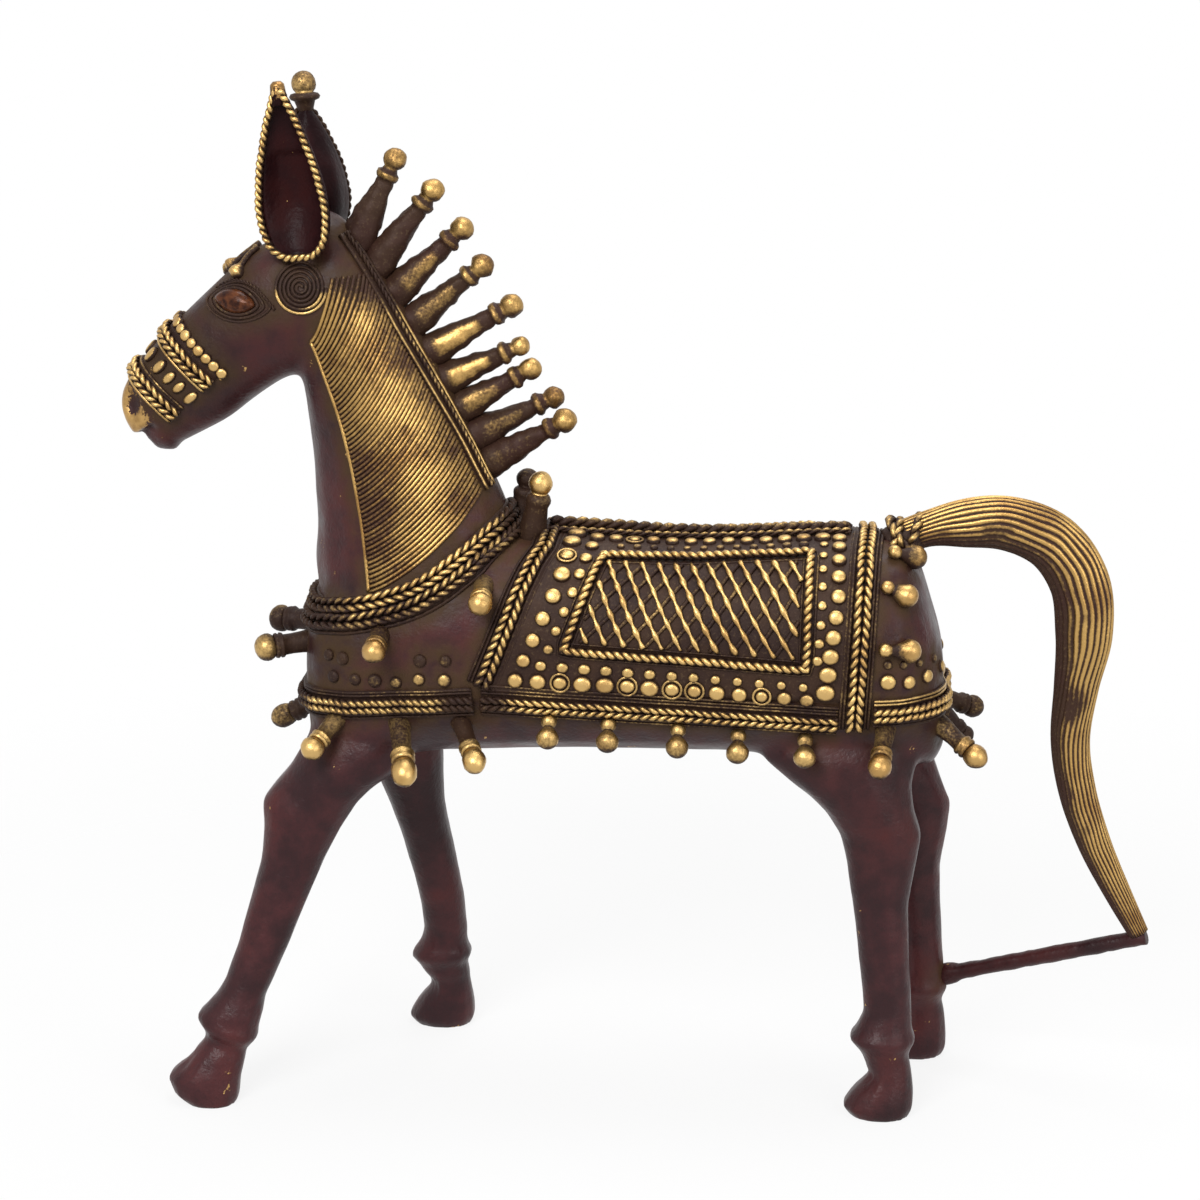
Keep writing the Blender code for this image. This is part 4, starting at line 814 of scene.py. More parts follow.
def on_skin(points, lift=0.0):
    """The nearest places on the skin, raised by lift (mm), and their outward directions."""
    found = [skin.find_nearest(Vector(p)) for p in points]
    return lifted([np.array([f[k] for f in found]) for k in (0, 1)], lift)


def lifted(path, height):
    """A path raised by a height (mm)."""
    points, outs = path
    return points + outs * height * MM, outs


def flank(places, side, rounds=4):
    """A path through x and z places (mm) on one side of the horse."""
    return laid([mm(x, 0, z) for x, z in places], [(0, side, 0)] * len(places), rounds)


def copper_eye():
    """Bare red copper under old lacquer, with a bright highlight."""
    finish = Finish("copper_eye")
    cloud = finish.grain(2.5 * MM, 3.0)
    colour = finish.blend(finish.ease(cloud, 0.35, 0.65), EYE_DARK, EYE_RED)
    return finish.dress(colour, 0.22, 0.1, cloud, 0.1 * MM, 0.15)


eye_copper = copper_eye()
for side, label in SIDES:
    centre, out = looked_in(mm(EYE_PLACE[0], 0, EYE_PLACE[1]), (0, side, 0))
    along = unit(np.array(EYE_LINE) - out * (np.array(EYE_LINE) @ out))
    up = np.cross(along, out)
    up = up if up[2] > 0 else -up
    turn = steps_round(28)
    almond = np.outer(np.cos(turn) * EYE_HALF[0], along)
    almond = (almond + np.outer(np.sin(turn) * np.abs(np.sin(turn)) ** 0.45 * EYE_HALF[1], up)) * MM
    almond = almond if np.dot(np.cross(almond[0], almond[7]), out) > 0 else almond[::-1]
    eye = Wax()
    eye.loft([centre + s * almond + out * h * MM for s, h in EYE_DOME], 1.0)
    eye.cast(label + "_eye_drop", label + "_eye", eye_copper)
    lids = Wax()
    for scale, thread, level in LIDS:
        lids.tube(*on_skin(centre + scale * almond, 0.25 * thread), thread, level=level, closed=True)
    brow = flank(curve([(x, 0, z) for x, z in BROW], 30)[:, (0, 2)], side)
    lids.twist(*lifted(brow, -0.25), *BROW_CORD, level=0.5)
    lids.cast(label + "_eye_lids", label + "_eye")

    turn = np.linspace(0, 2 * pi * SPIRAL_TURNS, 34 * SPIRAL_TURNS)
    radius = np.linspace(*SPIRAL_RADII, len(turn))
    places = np.column_stack([radius * np.cos(turn), radius * np.sin(turn)]) + SPIRAL_PLACE
    coil = Wax()
    lit = 0.15 + 0.75 * ramp(radius, 5.0, 5.4) * ramp(-np.sin(turn), -0.3, 0.4)
    coil.tube(*lifted(flank(places, side, 12), 0.3 * SPIRAL_THREAD), SPIRAL_THREAD, level=lit)
    coil.cast(label + "_cheek_coil", label + "_cheek_spiral")

forelock = Wax()
at = np.linspace(0, 1, 24)
for x, y, z in FORELOCK_DROPS:
    root, _ = looked_in(mm(FORELOCK_ROOT[0], 0.4 * y, FORELOCK_ROOT[1]), (-0.55, 0, 0.8))
    end, _ = looked_in(mm(x, y, z), (-0.6, 0, 0.8))
    radii, level = (np.interp(at, *zip(*steps)) for steps in (FORELOCK_THREAD, FORELOCK_SHINE))
    forelock.tube(*on_skin(root + at[:, None] * (end - root), 0.5), radii, 10, level)
forelock.cast("forelock_drops", "forelock")


# Nosebands
# Two plaited straps of wax cord laid over the muzzle, the upper with a row of balls behind it and wax seeds
# between the two. They are open under the jaw.

HEAD_WAY = (-0.79, 0, -0.61)
NOSE_TOP = (-0.72, 0, 0.69)
NOSE_SWEEP = 126
UPPER_BAND, LOWER_BAND, SEED_ROW = (-109.4, 185.8), (-118, 176.8), (-113.9, 181.0)
UPPER_BAND_EDGES, LOWER_BAND_EDGES = (-4.9, 3.4), (-2.8, 2.8)
NOSE_CORD = (0.95, 2.1)
SEED_ANGLES = (-122, -102, -82, -59, -31, 0, 31, 59, 82, 102, 122)
STRIP_DEPTH, STRIP_RUB = 0.8, 0.1


def beside(path, shift, lift=0.0, closed=False):
    """A path moved sideways over the skin, to its left as seen from outside, and raised by lift (mm)."""
    points, outs = path
    across, _ = lying(points, outs, closed)
    return on_skin(points + across * shift * MM, lift)[0], outs


def strip(wax, path, low, high, thickness, closed=False):
    """The thin sheet under a band, between two sideways distances (mm)."""
    rows = np.stack([beside(path, s, closed=closed)[0] for s in np.linspace(high, low, 6)], axis=1)
    outs = path[1][:, None]
    wax.sheet(rows + outs * thickness * MM, rows - outs * STRIP_DEPTH * MM, STRIP_RUB, closed)


def rail(wax, path, shift, radius, level, lift=0.3, closed=False):
    """A plain thread beside a path (mm)."""
    wax.tube(*beside(path, shift, lift, closed), radius, level=level, closed=closed)


def cords(wax, path, shifts, cord, hands, level=1.0, lift=0.2, closed=False):
    """Twisted cords of a radius and grain (mm) side by side; with opposite hands they read as a plait."""
    for shift, hand in zip(shifts, hands):
        wax.twist(*beside(path, shift, lift, closed), *cord, hand, level, closed)


def over_nose(centre, sweep):
    ways = [cos(radians(a)) * np.array(NOSE_TOP) + sin(radians(a)) * np.array((0, 1, 0)) for a in sweep]
    return laid([mm(centre[0], 0, centre[1])] * len(ways), ways)


band_sweep = np.linspace(-NOSE_SWEEP, NOSE_SWEEP, 70)
path = over_nose(UPPER_BAND, band_sweep)
upper_band = Wax()
strip(upper_band, path, *UPPER_BAND_EDGES, 0.35)
cords(upper_band, path, (1.45, -0.5), NOSE_CORD, (-1, 1))
rail(upper_band, path, 3.1, 0.45, 0.9)
row = followed(*beside(path, -3.9, 0.3), 19)
for k, (place, out) in enumerate(zip(*row)):
    upper_band.stud(place, out, 1.5 + 0.12 * sin(3 * k), 0.7)
upper_band.cast("upper_noseband_plait", "upper_noseband")

path = over_nose(LOWER_BAND, band_sweep)
lower_band = Wax()
strip(lower_band, path, *LOWER_BAND_EDGES, 0.35)
cords(lower_band, path, (0.95, -0.95), NOSE_CORD, (-1, 1))
rail(lower_band, path, 2.5, 0.45, 0.9)
rail(lower_band, path, -2.5, 0.42, 0.7)
for k, (place, out) in enumerate(zip(*over_nose(SEED_ROW, SEED_ANGLES))):
    lower_band.stud(place, out, 1.28 + 0.1 * sin(5 * k), 0.75, 0.9, 14, 1.8, HEAD_WAY)
lower_band.cast("lower_noseband_plait", "lower_noseband")


# Neck windings and mane edgings
# Fifty-six fine wax threads are laid side by side on each cheek of the neck, swept up from the throat towards
# the mane. A narrow edging of two threads and a thin cord keeps their ends off the spikes.

NECK_ROUTE = ((-53, 128), (-57, 148), (-62.5, 170), (-69.6, 191), (-75, 207), (-79, 218), (-80.3, 221.5))
NECK_STEPS = 60
WIRES, WIRE_RADIUS, THROAT_THREAD = 56, 0.53, 0.55
# Where threads leave the throat and where they reach the crest, as parts of the neck's length
THROAT_PARTS, CREST_PARTS = (0.055, 0.26, 0.5, 0.63, 0.705), (0.24, 0.44, 0.665, 0.82, 0.84)
# By part of the neck's length: degrees that the topmost threads stop short, and the edging's angle
TOP_FAN = ((0.63, 0), (0.705, 40))
EDGING_RUN = ((0.235, 15.3), (0.35, 18.7), (0.5, 25.5), (0.65, 29.8), (0.8, 32.5), (0.93, 36))
EDGING_GAP, EDGING_CORD = 8.5, (0.6, 1.7)

neck_centre = curve([(x, 0, z) for x, z in NECK_ROUTE], NECK_STEPS) * MM
neck_along = unit(np.gradient(neck_centre, axis=0))
neck_crest = np.column_stack([neck_along[:, 2], np.zeros(NECK_STEPS), -neck_along[:, 0]])


def round_neck(parts, angles, side):
    """Skin places part of the way up the neck; angle 0 is the crest, 90 the side, 180 the throat."""
    at, run = np.asarray(parts) * (NECK_STEPS - 1), np.arange(NECK_STEPS)
    turn = np.radians(angles)[:, None]
    ways = np.cos(turn) * read_off(at, run, neck_crest) + np.sin(turn) * np.array((0, side, 0))
    return laid(read_off(at, run, neck_centre), ways, 3)


for side, label in SIDES:
    winding = Wax()
    throat_ends, throat_ways = [], []
    steps = np.linspace(0, 1, 28)
    for k, low in enumerate(np.linspace(THROAT_PARTS[0], THROAT_PARTS[-1], WIRES)):
        high = np.interp(low, THROAT_PARTS, CREST_PARTS)
        end_angle = np.interp(high, *zip(*EDGING_RUN)) + EDGING_GAP + np.interp(low, *zip(*TOP_FAN))
        angles = (119 + 11 * (k / WIRES) ** 4) * (1 - steps) + end_angle * steps
        path = points, outs = round_neck(low + (high - low) * steps**1.3, angles, side)
        rise = 0.1 + 0.12 * lumps(points, 5 * MM)[:, None]
        # Painted shade: threads that leave the throat low on the neck are darker at their throat ends, and
        # every thread darkens towards its crest end.
        shaded = (1 - ramp(steps, 0.05, 0.6)) * (1 - ramp(low, 0.45, 0.65))
        level = 0.79 - 0.1 * shaded - 0.16 * ramp(steps, 0.65, 1.0)
        level = level + 0.05 * sin(2.3 * k) + 0.06 * lumps(points, 14 * MM)
        radius = WIRE_RADIUS * (0.97 + 0.05 * sin(7 * k))
        winding.tube(*lifted(path, rise), radius, 8, level)
        throat_ends.append(points[0] + outs[0] * 0.2 * MM)
        throat_ways.append(outs[0])
    winding.tube(np.array(throat_ends), np.array(throat_ways), THROAT_THREAD, level=0.9)
    winding.cast(label + "_neck_threads", label + "_neck_winding", finish=tail_brass)

    parts = np.linspace(EDGING_RUN[0][0], EDGING_RUN[-1][0], 50)
    path = round_neck(parts, np.interp(parts, *zip(*EDGING_RUN)), side)
    edging = Wax()
    strip(edging, path, -2.1, 2.1, 0.5)
    for shift in (-1.75, 1.75):
        rail(edging, path, shift, 0.5, 0.8, 0.5)
    cords(edging, path, (0.0,), EDGING_CORD, (1,), 0.7, 0.3)
    edging.cast(label + "_edging_threads", label + "_mane_edging")


# Mane spikes
# Nine rolled pegs of wax stand along the crest, the last two side by side, each tipped with a ring and a
# ball. Their shafts keep the rough skin of the mould, and filing has bared brass on the cheeks of some.

MANE_ROOTS, ROOT_BOW = ((-68.0, 217.6), (-37.0, 160.4)), 0.02
# The middle of each spike's ball (mm), how far its cheeks are filed bare, and the ball's radius (mm)
SPIKES = (
    ((-59.5, 0, 234.8), 0.3, 2.9),
    ((-50.4, 0, 227.4), 0.45, 2.95),
    ((-43.3, 0, 218.2), 0.82, 2.9),
    ((-38.4, 0, 209.2), 0.55, 2.9),
    ((-31.3, 0, 199.4), 0.72, 2.95),
    ((-29.2, 0, 189.5), 0.72, 2.4),
    ((-26.7, 0, 183.8), 0.6, 2.85),
    ((-21.3, 3.4, 176.2), 0.5, 2.7),
    ((-17.9, -3.4, 171.7), 0.48, 3.0),
)
# Shaft: part of its length, radius (mm); ring: distance, radius (mm), rub
SPIKE_TAPER = (
    (0, 4.35), (0.15, 4.15), (0.3, 3.8), (0.45, 3.4), (0.6, 3.0), (0.75, 2.65), (0.9, 2.35), (1, 2.1)
)
SPIKE_RING = ((0.3, 2.6, 0.45), (1.0, 2.95, 0.7), (1.8, 2.85, 0.6), (2.4, 2.2, 0.2))
SPIKE_FOOT, SPIKE_HEAD = (-4, 4.4), 5.4

first, last = (mm(x, 0, z) for x, z in MANE_ROOTS)
for k, (tip, filed, size) in enumerate(SPIKES):
    part = k / (len(SPIKES) - 1)
    root = first + (last - first) * (part + ROOT_BOW * sin(pi * part))
    reach = float(np.linalg.norm(mm(*tip) - root)) / MM
    shaft = reach - SPIKE_HEAD
    taper = [SPIKE_FOOT, *((share * shaft, radius) for share, radius in SPIKE_TAPER)]
    steps = np.linspace(SPIKE_FOOT[0], shaft, 26)
    profile = [(d, r, 0.1) for d, r in zip(steps, np.interp(steps, *zip(*taper)))]
    profile += [(shaft + d, r, rub) for d, r, rub in SPIKE_RING]
    profile += ball(reach + 0.1, size, -48, 0.72)
    along = np.array([d for d, _, _ in profile]) / shaft
    polish = filed * ramp(along, -0.1, 0.25) * (1 - ramp(along, 0.75, 1.0))
    spike = Wax()
    spike.turned(root, mm(*tip) - root, profile, 20, 0.5, polish)
    spike.cast(f"mane_peg_{k + 1}", f"mane_spike_{k + 1}", tail_brass)


# Collar
# Two plaits of twisted wax cord over a thin strip, low on the chest and high at the withers.
# It covers the seam between neck and barrel, and the bell pegs stand along it.

COLLAR_CENTRE, COLLAR_TILT, COLLAR_SAG = (-55.5, 0, 135.5), radians(24), 5.5
COLLAR_CORD, COLLAR_STEPS = (1.05, 2.5), 150
# Each cord's sideways shift (mm), hand and shine
COLLAR_CORDS = ((3.25, -1, 0.97), (1.15, 1, 0.92), (-0.95, -1, 0.8), (-3.05, 1, 0.72))

back = np.array((cos(COLLAR_TILT), 0, sin(COLLAR_TILT)))
lift = np.array((-sin(COLLAR_TILT), 0, cos(COLLAR_TILT)))
sag = np.sin(steps_round(COLLAR_STEPS)) ** 2 * COLLAR_SAG * MM
centres = mm(*COLLAR_CENTRE) - np.outer(sag, lift)
path = laid(centres, circle(COLLAR_STEPS, back, (0, 1, 0)), 6, True)
collar = Wax()
strip(collar, path, -4.5, 4.4, 0.45, True)
for shift, hand, level in COLLAR_CORDS:
    cords(collar, path, (shift,), COLLAR_CORD, (hand,), level, 0.3, True)
rail(collar, path, -4.5, 0.45, 0.4, 0.3, True)
collar.cast("collar_plait", "collar")


# Bell pegs
# Rolled wax pegs with ring threads and a ball, stood on the chest, shoulders and withers in pairs.
# Each is pressed on by its foot and cast with the body, and hands have rubbed its ball bright.

PEG_SHAFT = ((-4, 2.6), (-1, 2.6), (1.5, 2.35), (4, 2.2), (5.9, 2.15))
PEG_RINGS = ((6.3, 2.6), (6.8, 2.75), (7.2, 2.35), (7.7, 2.7), (8.2, 2.6), (8.6, 2.1))
STOUT_SHAFT = ((-4, 3.6), (-1, 3.6), (1.5, 3.5), (4, 3.2), (7.4, 2.8))
STOUT_RINGS = ((8.0, 2.9), (8.7, 3.1), (9.5, 3.1), (10.1, 2.8), (10.7, 2.2))
# The left peg's root (mm) and direction, the right one's shift (mm), the stretch of each, their girth
PEGS = {
    "chest": ((-82, -8, 115.5), (-0.9, -0.36, -0.08), (0, -3, 2.2), (1.0, 1.0), 1.2),
    "shoulder": ((-61, -22, 121.3), (0, -0.97, -0.14), (0, 0, 0), (1.0, 1.0), 1.0),
    "withers_side": ((-36, -22, 133.5), (0.04, -0.98, -0.14), (0, 0, 0), (1.0, 1.0), 1.0),
    "withers": ((-25.8, -4.8, 147), (0.18, -0.1, 0.97), (-4.4, 0, -3.5), (1.06, 0.9), 1.0),
}


def peg_profile(shaft, rings, ring_rub, end):
    return np.array([(d, r, 0.6) for d, r in shaft] + [(d, r, ring_rub) for d, r in rings] + end)


slim_peg = peg_profile(PEG_SHAFT, PEG_RINGS, 0.78, ball(10.5, 2.95, -50))
stout_peg = peg_profile(STOUT_SHAFT, STOUT_RINGS, 0.5, ball(13.0, 3.0, -50))


def peg(wax, root, way, stretch, girth, profile=slim_peg):
    """A bell peg on the skin nearest to its root."""
    foot, _ = on_skin([mm(*root)])
    wax.turned(foot[0], way, profile * (stretch, girth, 1), 16, 0.22)


for name, (root, way, right_shift, stretches, girth) in PEGS.items():
    profile = stout_peg if name == "withers" else slim_peg
    for side, label in SIDES:
        mirror = np.array((1, -side, 1))
        place = np.array(root) * mirror + (np.array(right_shift) if side > 0 else 0)
        single = Wax()
        peg(single, place, np.array(way) * mirror, stretches[side > 0], girth, profile)
        single.cast(f"{label}_{name}_bell", f"{label}_{name}_peg")


# Saddle cloth
# A thin sheet of wax over the back, set with pressed balls of wax in rows, some of them ringed with thread.
# A twisted cord runs along the spine.

TRUNK_AXIS_Z = 116
# The cloth's edges: angles from straight up, and x at each (mm)
FRONT_EDGE, REAR_EDGE = ((0, 26, 103), (-21.2, -21.8, -36.2)), ((0, 124), (57.2, 54.4))
CLOTH_REACH, CLOTH_LIFT = 107, 0.7
# The panel's corners, front and rear: x (mm) and angle
PANEL_CORNERS = {"low": ((-16.2, 82.2), (42.8, 89.6)), "high": ((-7.2, 32.8), (43.5, 29.0))}
# Rows of studs: x and angle of their line, how many, their radius (mm), which of them are ringed
STUD_ROWS = (
    (((-27.8, 99.2), (-0.3, 101.4), (43.1, 106.2)), 14, 2.05, (2, 5, 7, 8, 11)),
    (((-21.6, 91), (42.2, 99.6)), 13, 1.35, ()),
    (((-14.8, 9), (-17.2, 48), (-25.8, 88.3)), 8, 2.0, (2,)),
    (((-10.4, 24), (-13.2, 49), (-19.7, 82)), 7, 1.5, ()),
    (((-9.6, 13), (46, 12.5)), 13, 1.9, (2,)),
    (((-3.4, 22.5), (41.5, 20)), 12, 1.1, ()),
    (((50.1, 14), (50.2, 55), (47.5, 102)), 10, 2.1, ()),
    (((46.4, 21), (46.4, 60), (45.5, 85)), 8, 1.25, ()),
)
# The row of studs that is hardly rubbed, and the arc that one degree is counted as (mm)
DULL_ROW, ANGLE_STEP = 5, 0.5
SPINE_CORD, SPINE_SIDE_CORD = (1.5, 3.0), (0.85, 2.3)


def over_back(x, angle, side):
    """The line in to the skin at x, turned angle degrees from straight up towards one side."""
    turn = radians(angle) * side
    return mm(x, 0, TRUNK_AXIS_Z), (0, sin(turn), cos(turn))


def draped(places, side, rounds=4, closed=False):
    """A path through x and angle places on the back."""
    centres, ways = zip(*(over_back(x, a, side) for x, a in places))
    return laid(centres, ways, rounds, closed)


def spaced(places, count):
    """Even steps along a line through x and angle places."""
    places = np.array(places, float)
    run = run_of(places * (1, ANGLE_STEP))
    return read_off(np.linspace(0, run[-1], count), run, places)


def edge_x(edge, angle):
    return np.interp(abs(angle), *edge)


cloth = Wax()
grid = []
for angle in np.linspace(CLOTH_REACH, -CLOTH_REACH, 90):
    xs = np.linspace(edge_x(FRONT_EDGE, angle) + 2, edge_x(REAR_EDGE, angle) - 2, 36)
    grid.append(draped([(x, angle) for x in xs], -1, 2))
base, ways = (np.array(v) for v in zip(*grid))
ripple = lumps(base.reshape(-1, 3), 6 * MM).reshape(base.shape[:2])[:, :, None] * 0.12 * MM
cloth.sheet(base + ways * (CLOTH_LIFT * MM + ripple), base - ways * 0.5 * MM, 0.08)
for side in (-1, 1):
    for order, (places, count, radius, ringed) in enumerate(STUD_ROWS):
        for k, (place, out) in enumerate(zip(*draped(spaced(places, count), side, 1))):
            vary = sin(12.9 * k + 7 * order)
            size = radius * (1 + 0.1 * vary) * (0.8 if k in ringed else 1.0)
            place = place + out * CLOTH_LIFT * MM
            level = 0.65 if order == DULL_ROW else 0.88 + 0.08 * sin(31.7 * k + 3 * order)
            cloth.stud(place, out, size, 0.7, level, 16, 1.0 + 0.12 * max(0.0, vary), (1, 0, 0))
            if k in ringed:
                cloth.hoop(place + out * 0.25 * MM, out, size + 0.55, 0.4)
cloth.cast("studded_cloth", "saddle_cloth")

xs = np.linspace(edge_x(FRONT_EDGE, 0) - 0.5, edge_x(REAR_EDGE, 0) - 4.5, 60)
path = draped([(x, 0) for x in xs], 1)
spine = Wax()
rise = np.linspace(1.3, 0.2, len(xs))[:, None]
spine.twist(*lifted(path, rise), *SPINE_CORD, -1, 0.68)
cords(spine, path, (-2.6, 2.6), SPINE_SIDE_CORD, (-1, 1), 0.8, CLOTH_LIFT)
spine.cast("spine_cord", "spine_rope")


# Lattice panels
# On each flank beaded wax threads slant across plainer ones, pinched where they cross. They lie on a thin
# sheet over the cloth, inside a frame of twisted cord between two plain threads.

THREAD_STEP, THREAD_SLANT, CROSS_STEP, CROSS_SLANT = 0.078, 0.34, 0.09, 0.30
THREAD_RADIUS, KNOT_SWELL, KNOT_LENGTH, CROSS_RADIUS = 0.3, 0.6, 0.048, 0.55
FIRST_THREAD, PANEL_INSET, PANEL_CORD = -0.30, (0.035, 0.09), (1.12, 2.15)


def panel_place(u, v):
    """The x and angle of a panel place: u from front to back, v from bottom to top."""
    low, high = (np.array(PANEL_CORNERS[k]) for k in ("low", "high"))
    bottom, top = low[0] + u * (low[1] - low[0]), high[0] + u * (high[1] - high[0])
    return bottom + v * (top - bottom)


def panel_threads(starts, slant, side):
    """Threads that slant across a panel: each one's start, the fall at its points, and its path."""
    fall = 1 - np.linspace(1 - PANEL_INSET[1], PANEL_INSET[1], 40)
    for start in starts:
        u = start + slant * fall
        inside = (u > PANEL_INSET[0]) & (u < 1 - PANEL_INSET[0])
        if inside.sum() > 3:
            places = [panel_place(*p) for p in zip(u[inside], 1 - fall[inside])]
            yield start, fall[inside], draped(places, side)


for side, label in SIDES:
    lattice = Wax()
    places = [[panel_place(u, v) for u in np.linspace(0, 1, 30)] for v in np.linspace(1, 0, 14)]
    grid = [draped(row if side < 0 else row[::-1], side, 2) for row in places]
    base, ways = (np.array(v) for v in zip(*grid))
    lattice.sheet(base + ways * (CLOTH_LIFT + 0.12) * MM, base + ways * 0.3 * MM, 0.05)
    cross_starts = np.arange(0.06, 1.3, CROSS_STEP)
    for _, _, path in panel_threads(cross_starts, -CROSS_SLANT, side):
        lattice.tube(*lifted(path, CLOTH_LIFT + 0.3), CROSS_RADIUS, level=0.57)
    thread_starts = np.arange(FIRST_THREAD, 0.95, THREAD_STEP)
    for start, fall, path in panel_threads(thread_starts, THREAD_SLANT, side):
        knots = (cross_starts - start) / (THREAD_SLANT + CROSS_SLANT)
        pinch = hill(fall[:, None], knots[None], KNOT_LENGTH).max(axis=1)
        vary = 0.9 + 0.2 * sin(5 * round((start - FIRST_THREAD) / THREAD_STEP))
        lattice.tube(*lifted(path, CLOTH_LIFT + 0.75), THREAD_RADIUS + KNOT_SWELL * pinch * vary, 8)
    lattice.cast(label + "_lattice_threads", label + "_lattice")

    loop = [(u, 0) for u in np.linspace(0, 1, 40)] + [(1, v) for v in np.linspace(0, 1, 22)[1:]]
    loop += [(u, 1) for u in np.linspace(1, 0, 40)[1:]] + [(0, v) for v in np.linspace(1, 0, 22)[1:-1]]
    path = draped([panel_place(*p) for p in loop], side, 4, True)
    frame_cord = Wax()
    frame_cord.twist(*lifted(path, CLOTH_LIFT), *PANEL_CORD, 1, closed=True)
    for shift in (-1.75, 1.7):
        rail(frame_cord, path, -side * shift, 0.36, 0.55, CLOTH_LIFT + 0.1, True)
    frame_cord.cast(label + "_panel_cord", label + "_panel_rope")


# Borders, hems and end bands
# Plaited strips bind the cloth: one over the withers, one over the rump, a hem along each flank, and a band
# round the chest and one round the rump at the hem's height. Bell pegs, drops and small balls hang from them.

BORDER_CORD, HEM_CORD, END_CORD = (1.05, 2.35), (0.98, 2.2), (1.08, 1.8)
BIND_THICKNESS, RAIL_RADIUS, END_RAIL_RADIUS = 0.4, 0.4, 0.42
# Paths by x and z (mm): the hem's ends; a band's start and turn on the flank, and its height at the end
HEM_RUN = ((-36.5, 105.9), (50.5, 102.2))
BREAST_RUN = ((-38.5, 105.8), (-58, 104.4), 102.1)
RUMP_RUN = ((59.2, 104.6), (60, 104.6), 105.0)
# Pegs: root (mm), direction, stretch, girth
BREAST_PEGS = (
    ((-73, -20, 99), (-0.46, -0.72, -0.52), 1.0, 1.0),
    ((-57, -24, 98), (0.18, -0.8, -0.57), 1.4, 1.1),
    ((-57, 24, 98), (0.18, 0.8, -0.57), 1.4, 1.1),
    ((-41.5, -24, 99), (0.34, -0.8, -0.5), 1.2, 1.0),
    ((-41.5, 24, 99), (0.34, 0.8, -0.5), 1.2, 1.0),
    ((-79, 11, 96.4), (-0.9, 0.1, -0.46), 1.25, 1.05),
)
RUMP_PEGS = (
    ((62.5, -24, 98.5), (-0.1, -0.85, -0.5), 1.12, 1.0),
    ((62.5, 24, 98.5), (-0.1, 0.85, -0.5), 1.12, 1.0),
    ((75, -11, 98.5), (0.72, -0.43, -0.52), 1.12, 1.0),
    ((76.5, 3.5, 98), (0.6, 0.2, -0.77), 0.85, 1.0),
    ((75, 11, 99.8), (0.76, 0.4, -0.34), 1.0, 1.0),
)
BELLY_DROPS = ((-19.8, 101.8), (-5.2, 101.2), (11.8, 100.2), (26.5, 99.1), (42.8, 98.3))
# Drops on the rear border: x (mm) and angle of both balls, and their shine
RUMP_DROPS = (
    ((63.2, 26), (66.6, 23.5), 0.78),
    ((61.6, 46.6), (65, 49.2), 1.0),
    ((61.3, 78.3), (65.9, 78.7), 1.0),
)
# Small balls above the bands: x and z (mm), then the shine on the chest or the radius (mm) on the rump
CHEST_STUDS = (
    (-73.4, 110.2, 0.45),
    (-67.7, 110.2, 0.5),
    (-62.7, 110.2, 0.58),
    (-57.4, 110, 0.66),
    (-51.6, 111.1, 0.68),
    (-45.3, 111.1, 0.75),
    (-45, 116, 0.5),
    (-51.3, 115.8, 0.4),
    (-70.8, 115.2, 0.4),
    (-74.6, 115.4, 0.4),
)
RUMP_STUDS = (
    (62.5, 112.7, 2.1),
    (67.5, 112.2, 1.85),
    (71.9, 112.8, 1.8),
    (75.4, 113.4, 1.6),
    (62.4, 117, 1.2),
    (66.2, 116.7, 1.1),
    (70, 116.6, 1.1),
    (73.6, 116.4, 1.1),
)


def drop(wax, root, way, small=2.0, large=2.85, gap=4.8, level=0.75, neck=1.3):
    """A small ball and a larger one drawn out towards it, in a row (mm)."""
    profile = [*ball(0.2, small, -60, level)[:-2], (0.2 + 0.9 * small, 1.0, 0.3)]
    profile += [(gap - 0.95 * large, neck, 0.65 * level), (gap - 0.5 * large, 0.78 * large, 0.85 * level)]
    profile += ball(gap, large, -5, level)
    wax.turned(root, way, profile, 16, 0.12)


def bind(wax, path, half, cord, shift, hands, level, rails):
    """A strip under two twisted cords, and threads beside them by their shift, radius, shine and lift."""
    strip(wax, path, -half, half, BIND_THICKNESS)
    cords(wax, path, (shift, -shift), cord, hands, level, 0.3)
    for sizes in rails:
        rail(wax, path, *sizes)


def border(edge):
    sweep = np.linspace(-edge[0][-1], edge[0][-1], 130)
    return draped([(edge_x(edge, a), a) for a in sweep], 1)


front = Wax()
rails = [(shift, RAIL_RADIUS, 0.5, 0.5) for shift in (-3.5, -2.55, 2.55, 3.5)]
bind(front, border(FRONT_EDGE), 3.6, BORDER_CORD, 1.05, (1, -1), 0.9, rails)
front.cast("front_border_plait", "front_border")

rear = Wax()
rails = [(shift, RAIL_RADIUS, 0.55, 0.5) for shift in (-3.5, -2.6, 2.6, 3.5)]
bind(rear, border(REAR_EDGE), 3.8, BORDER_CORD, 1.1, (1, -1), 1.0, rails)
for side in (-1, 1):
    for start, end, level in RUMP_DROPS:
        (root, tip), ways = draped((start, end), side, 0)
        root, tip = root + ways[0] * 1.5 * MM, tip + ways[1] * 1.7 * MM
        drop(rear, root, tip - root, 1.75, 2.95, float(np.linalg.norm(tip - root)) / MM + 0.8, level, 1.75)
rear.cast("rear_border_plait", "rear_border")

for side, label in SIDES:
    hem = Wax()
    path = flank(np.linspace(*HEM_RUN, 90), side)
    rails = [(-side * shift, RAIL_RADIUS, 0.64, 0.45) for shift in (-3.4, -2.5, 2.5, 3.4)]
    rails.append((-side * 4.5, RAIL_RADIUS, 0.64, 0.8))
    bind(hem, path, 3.6, HEM_CORD, -side * 1.0, (-side, side), 1.0, rails)
    for x, z in BELLY_DROPS:
        root, out = looked_in(mm(x, 0, z), (0, side, 0))
        drop(hem, root + out * 1.6 * MM, (0, 0.72 * side, -0.68))
    hem.cast(label + "_hem_plait", label + "_hem")


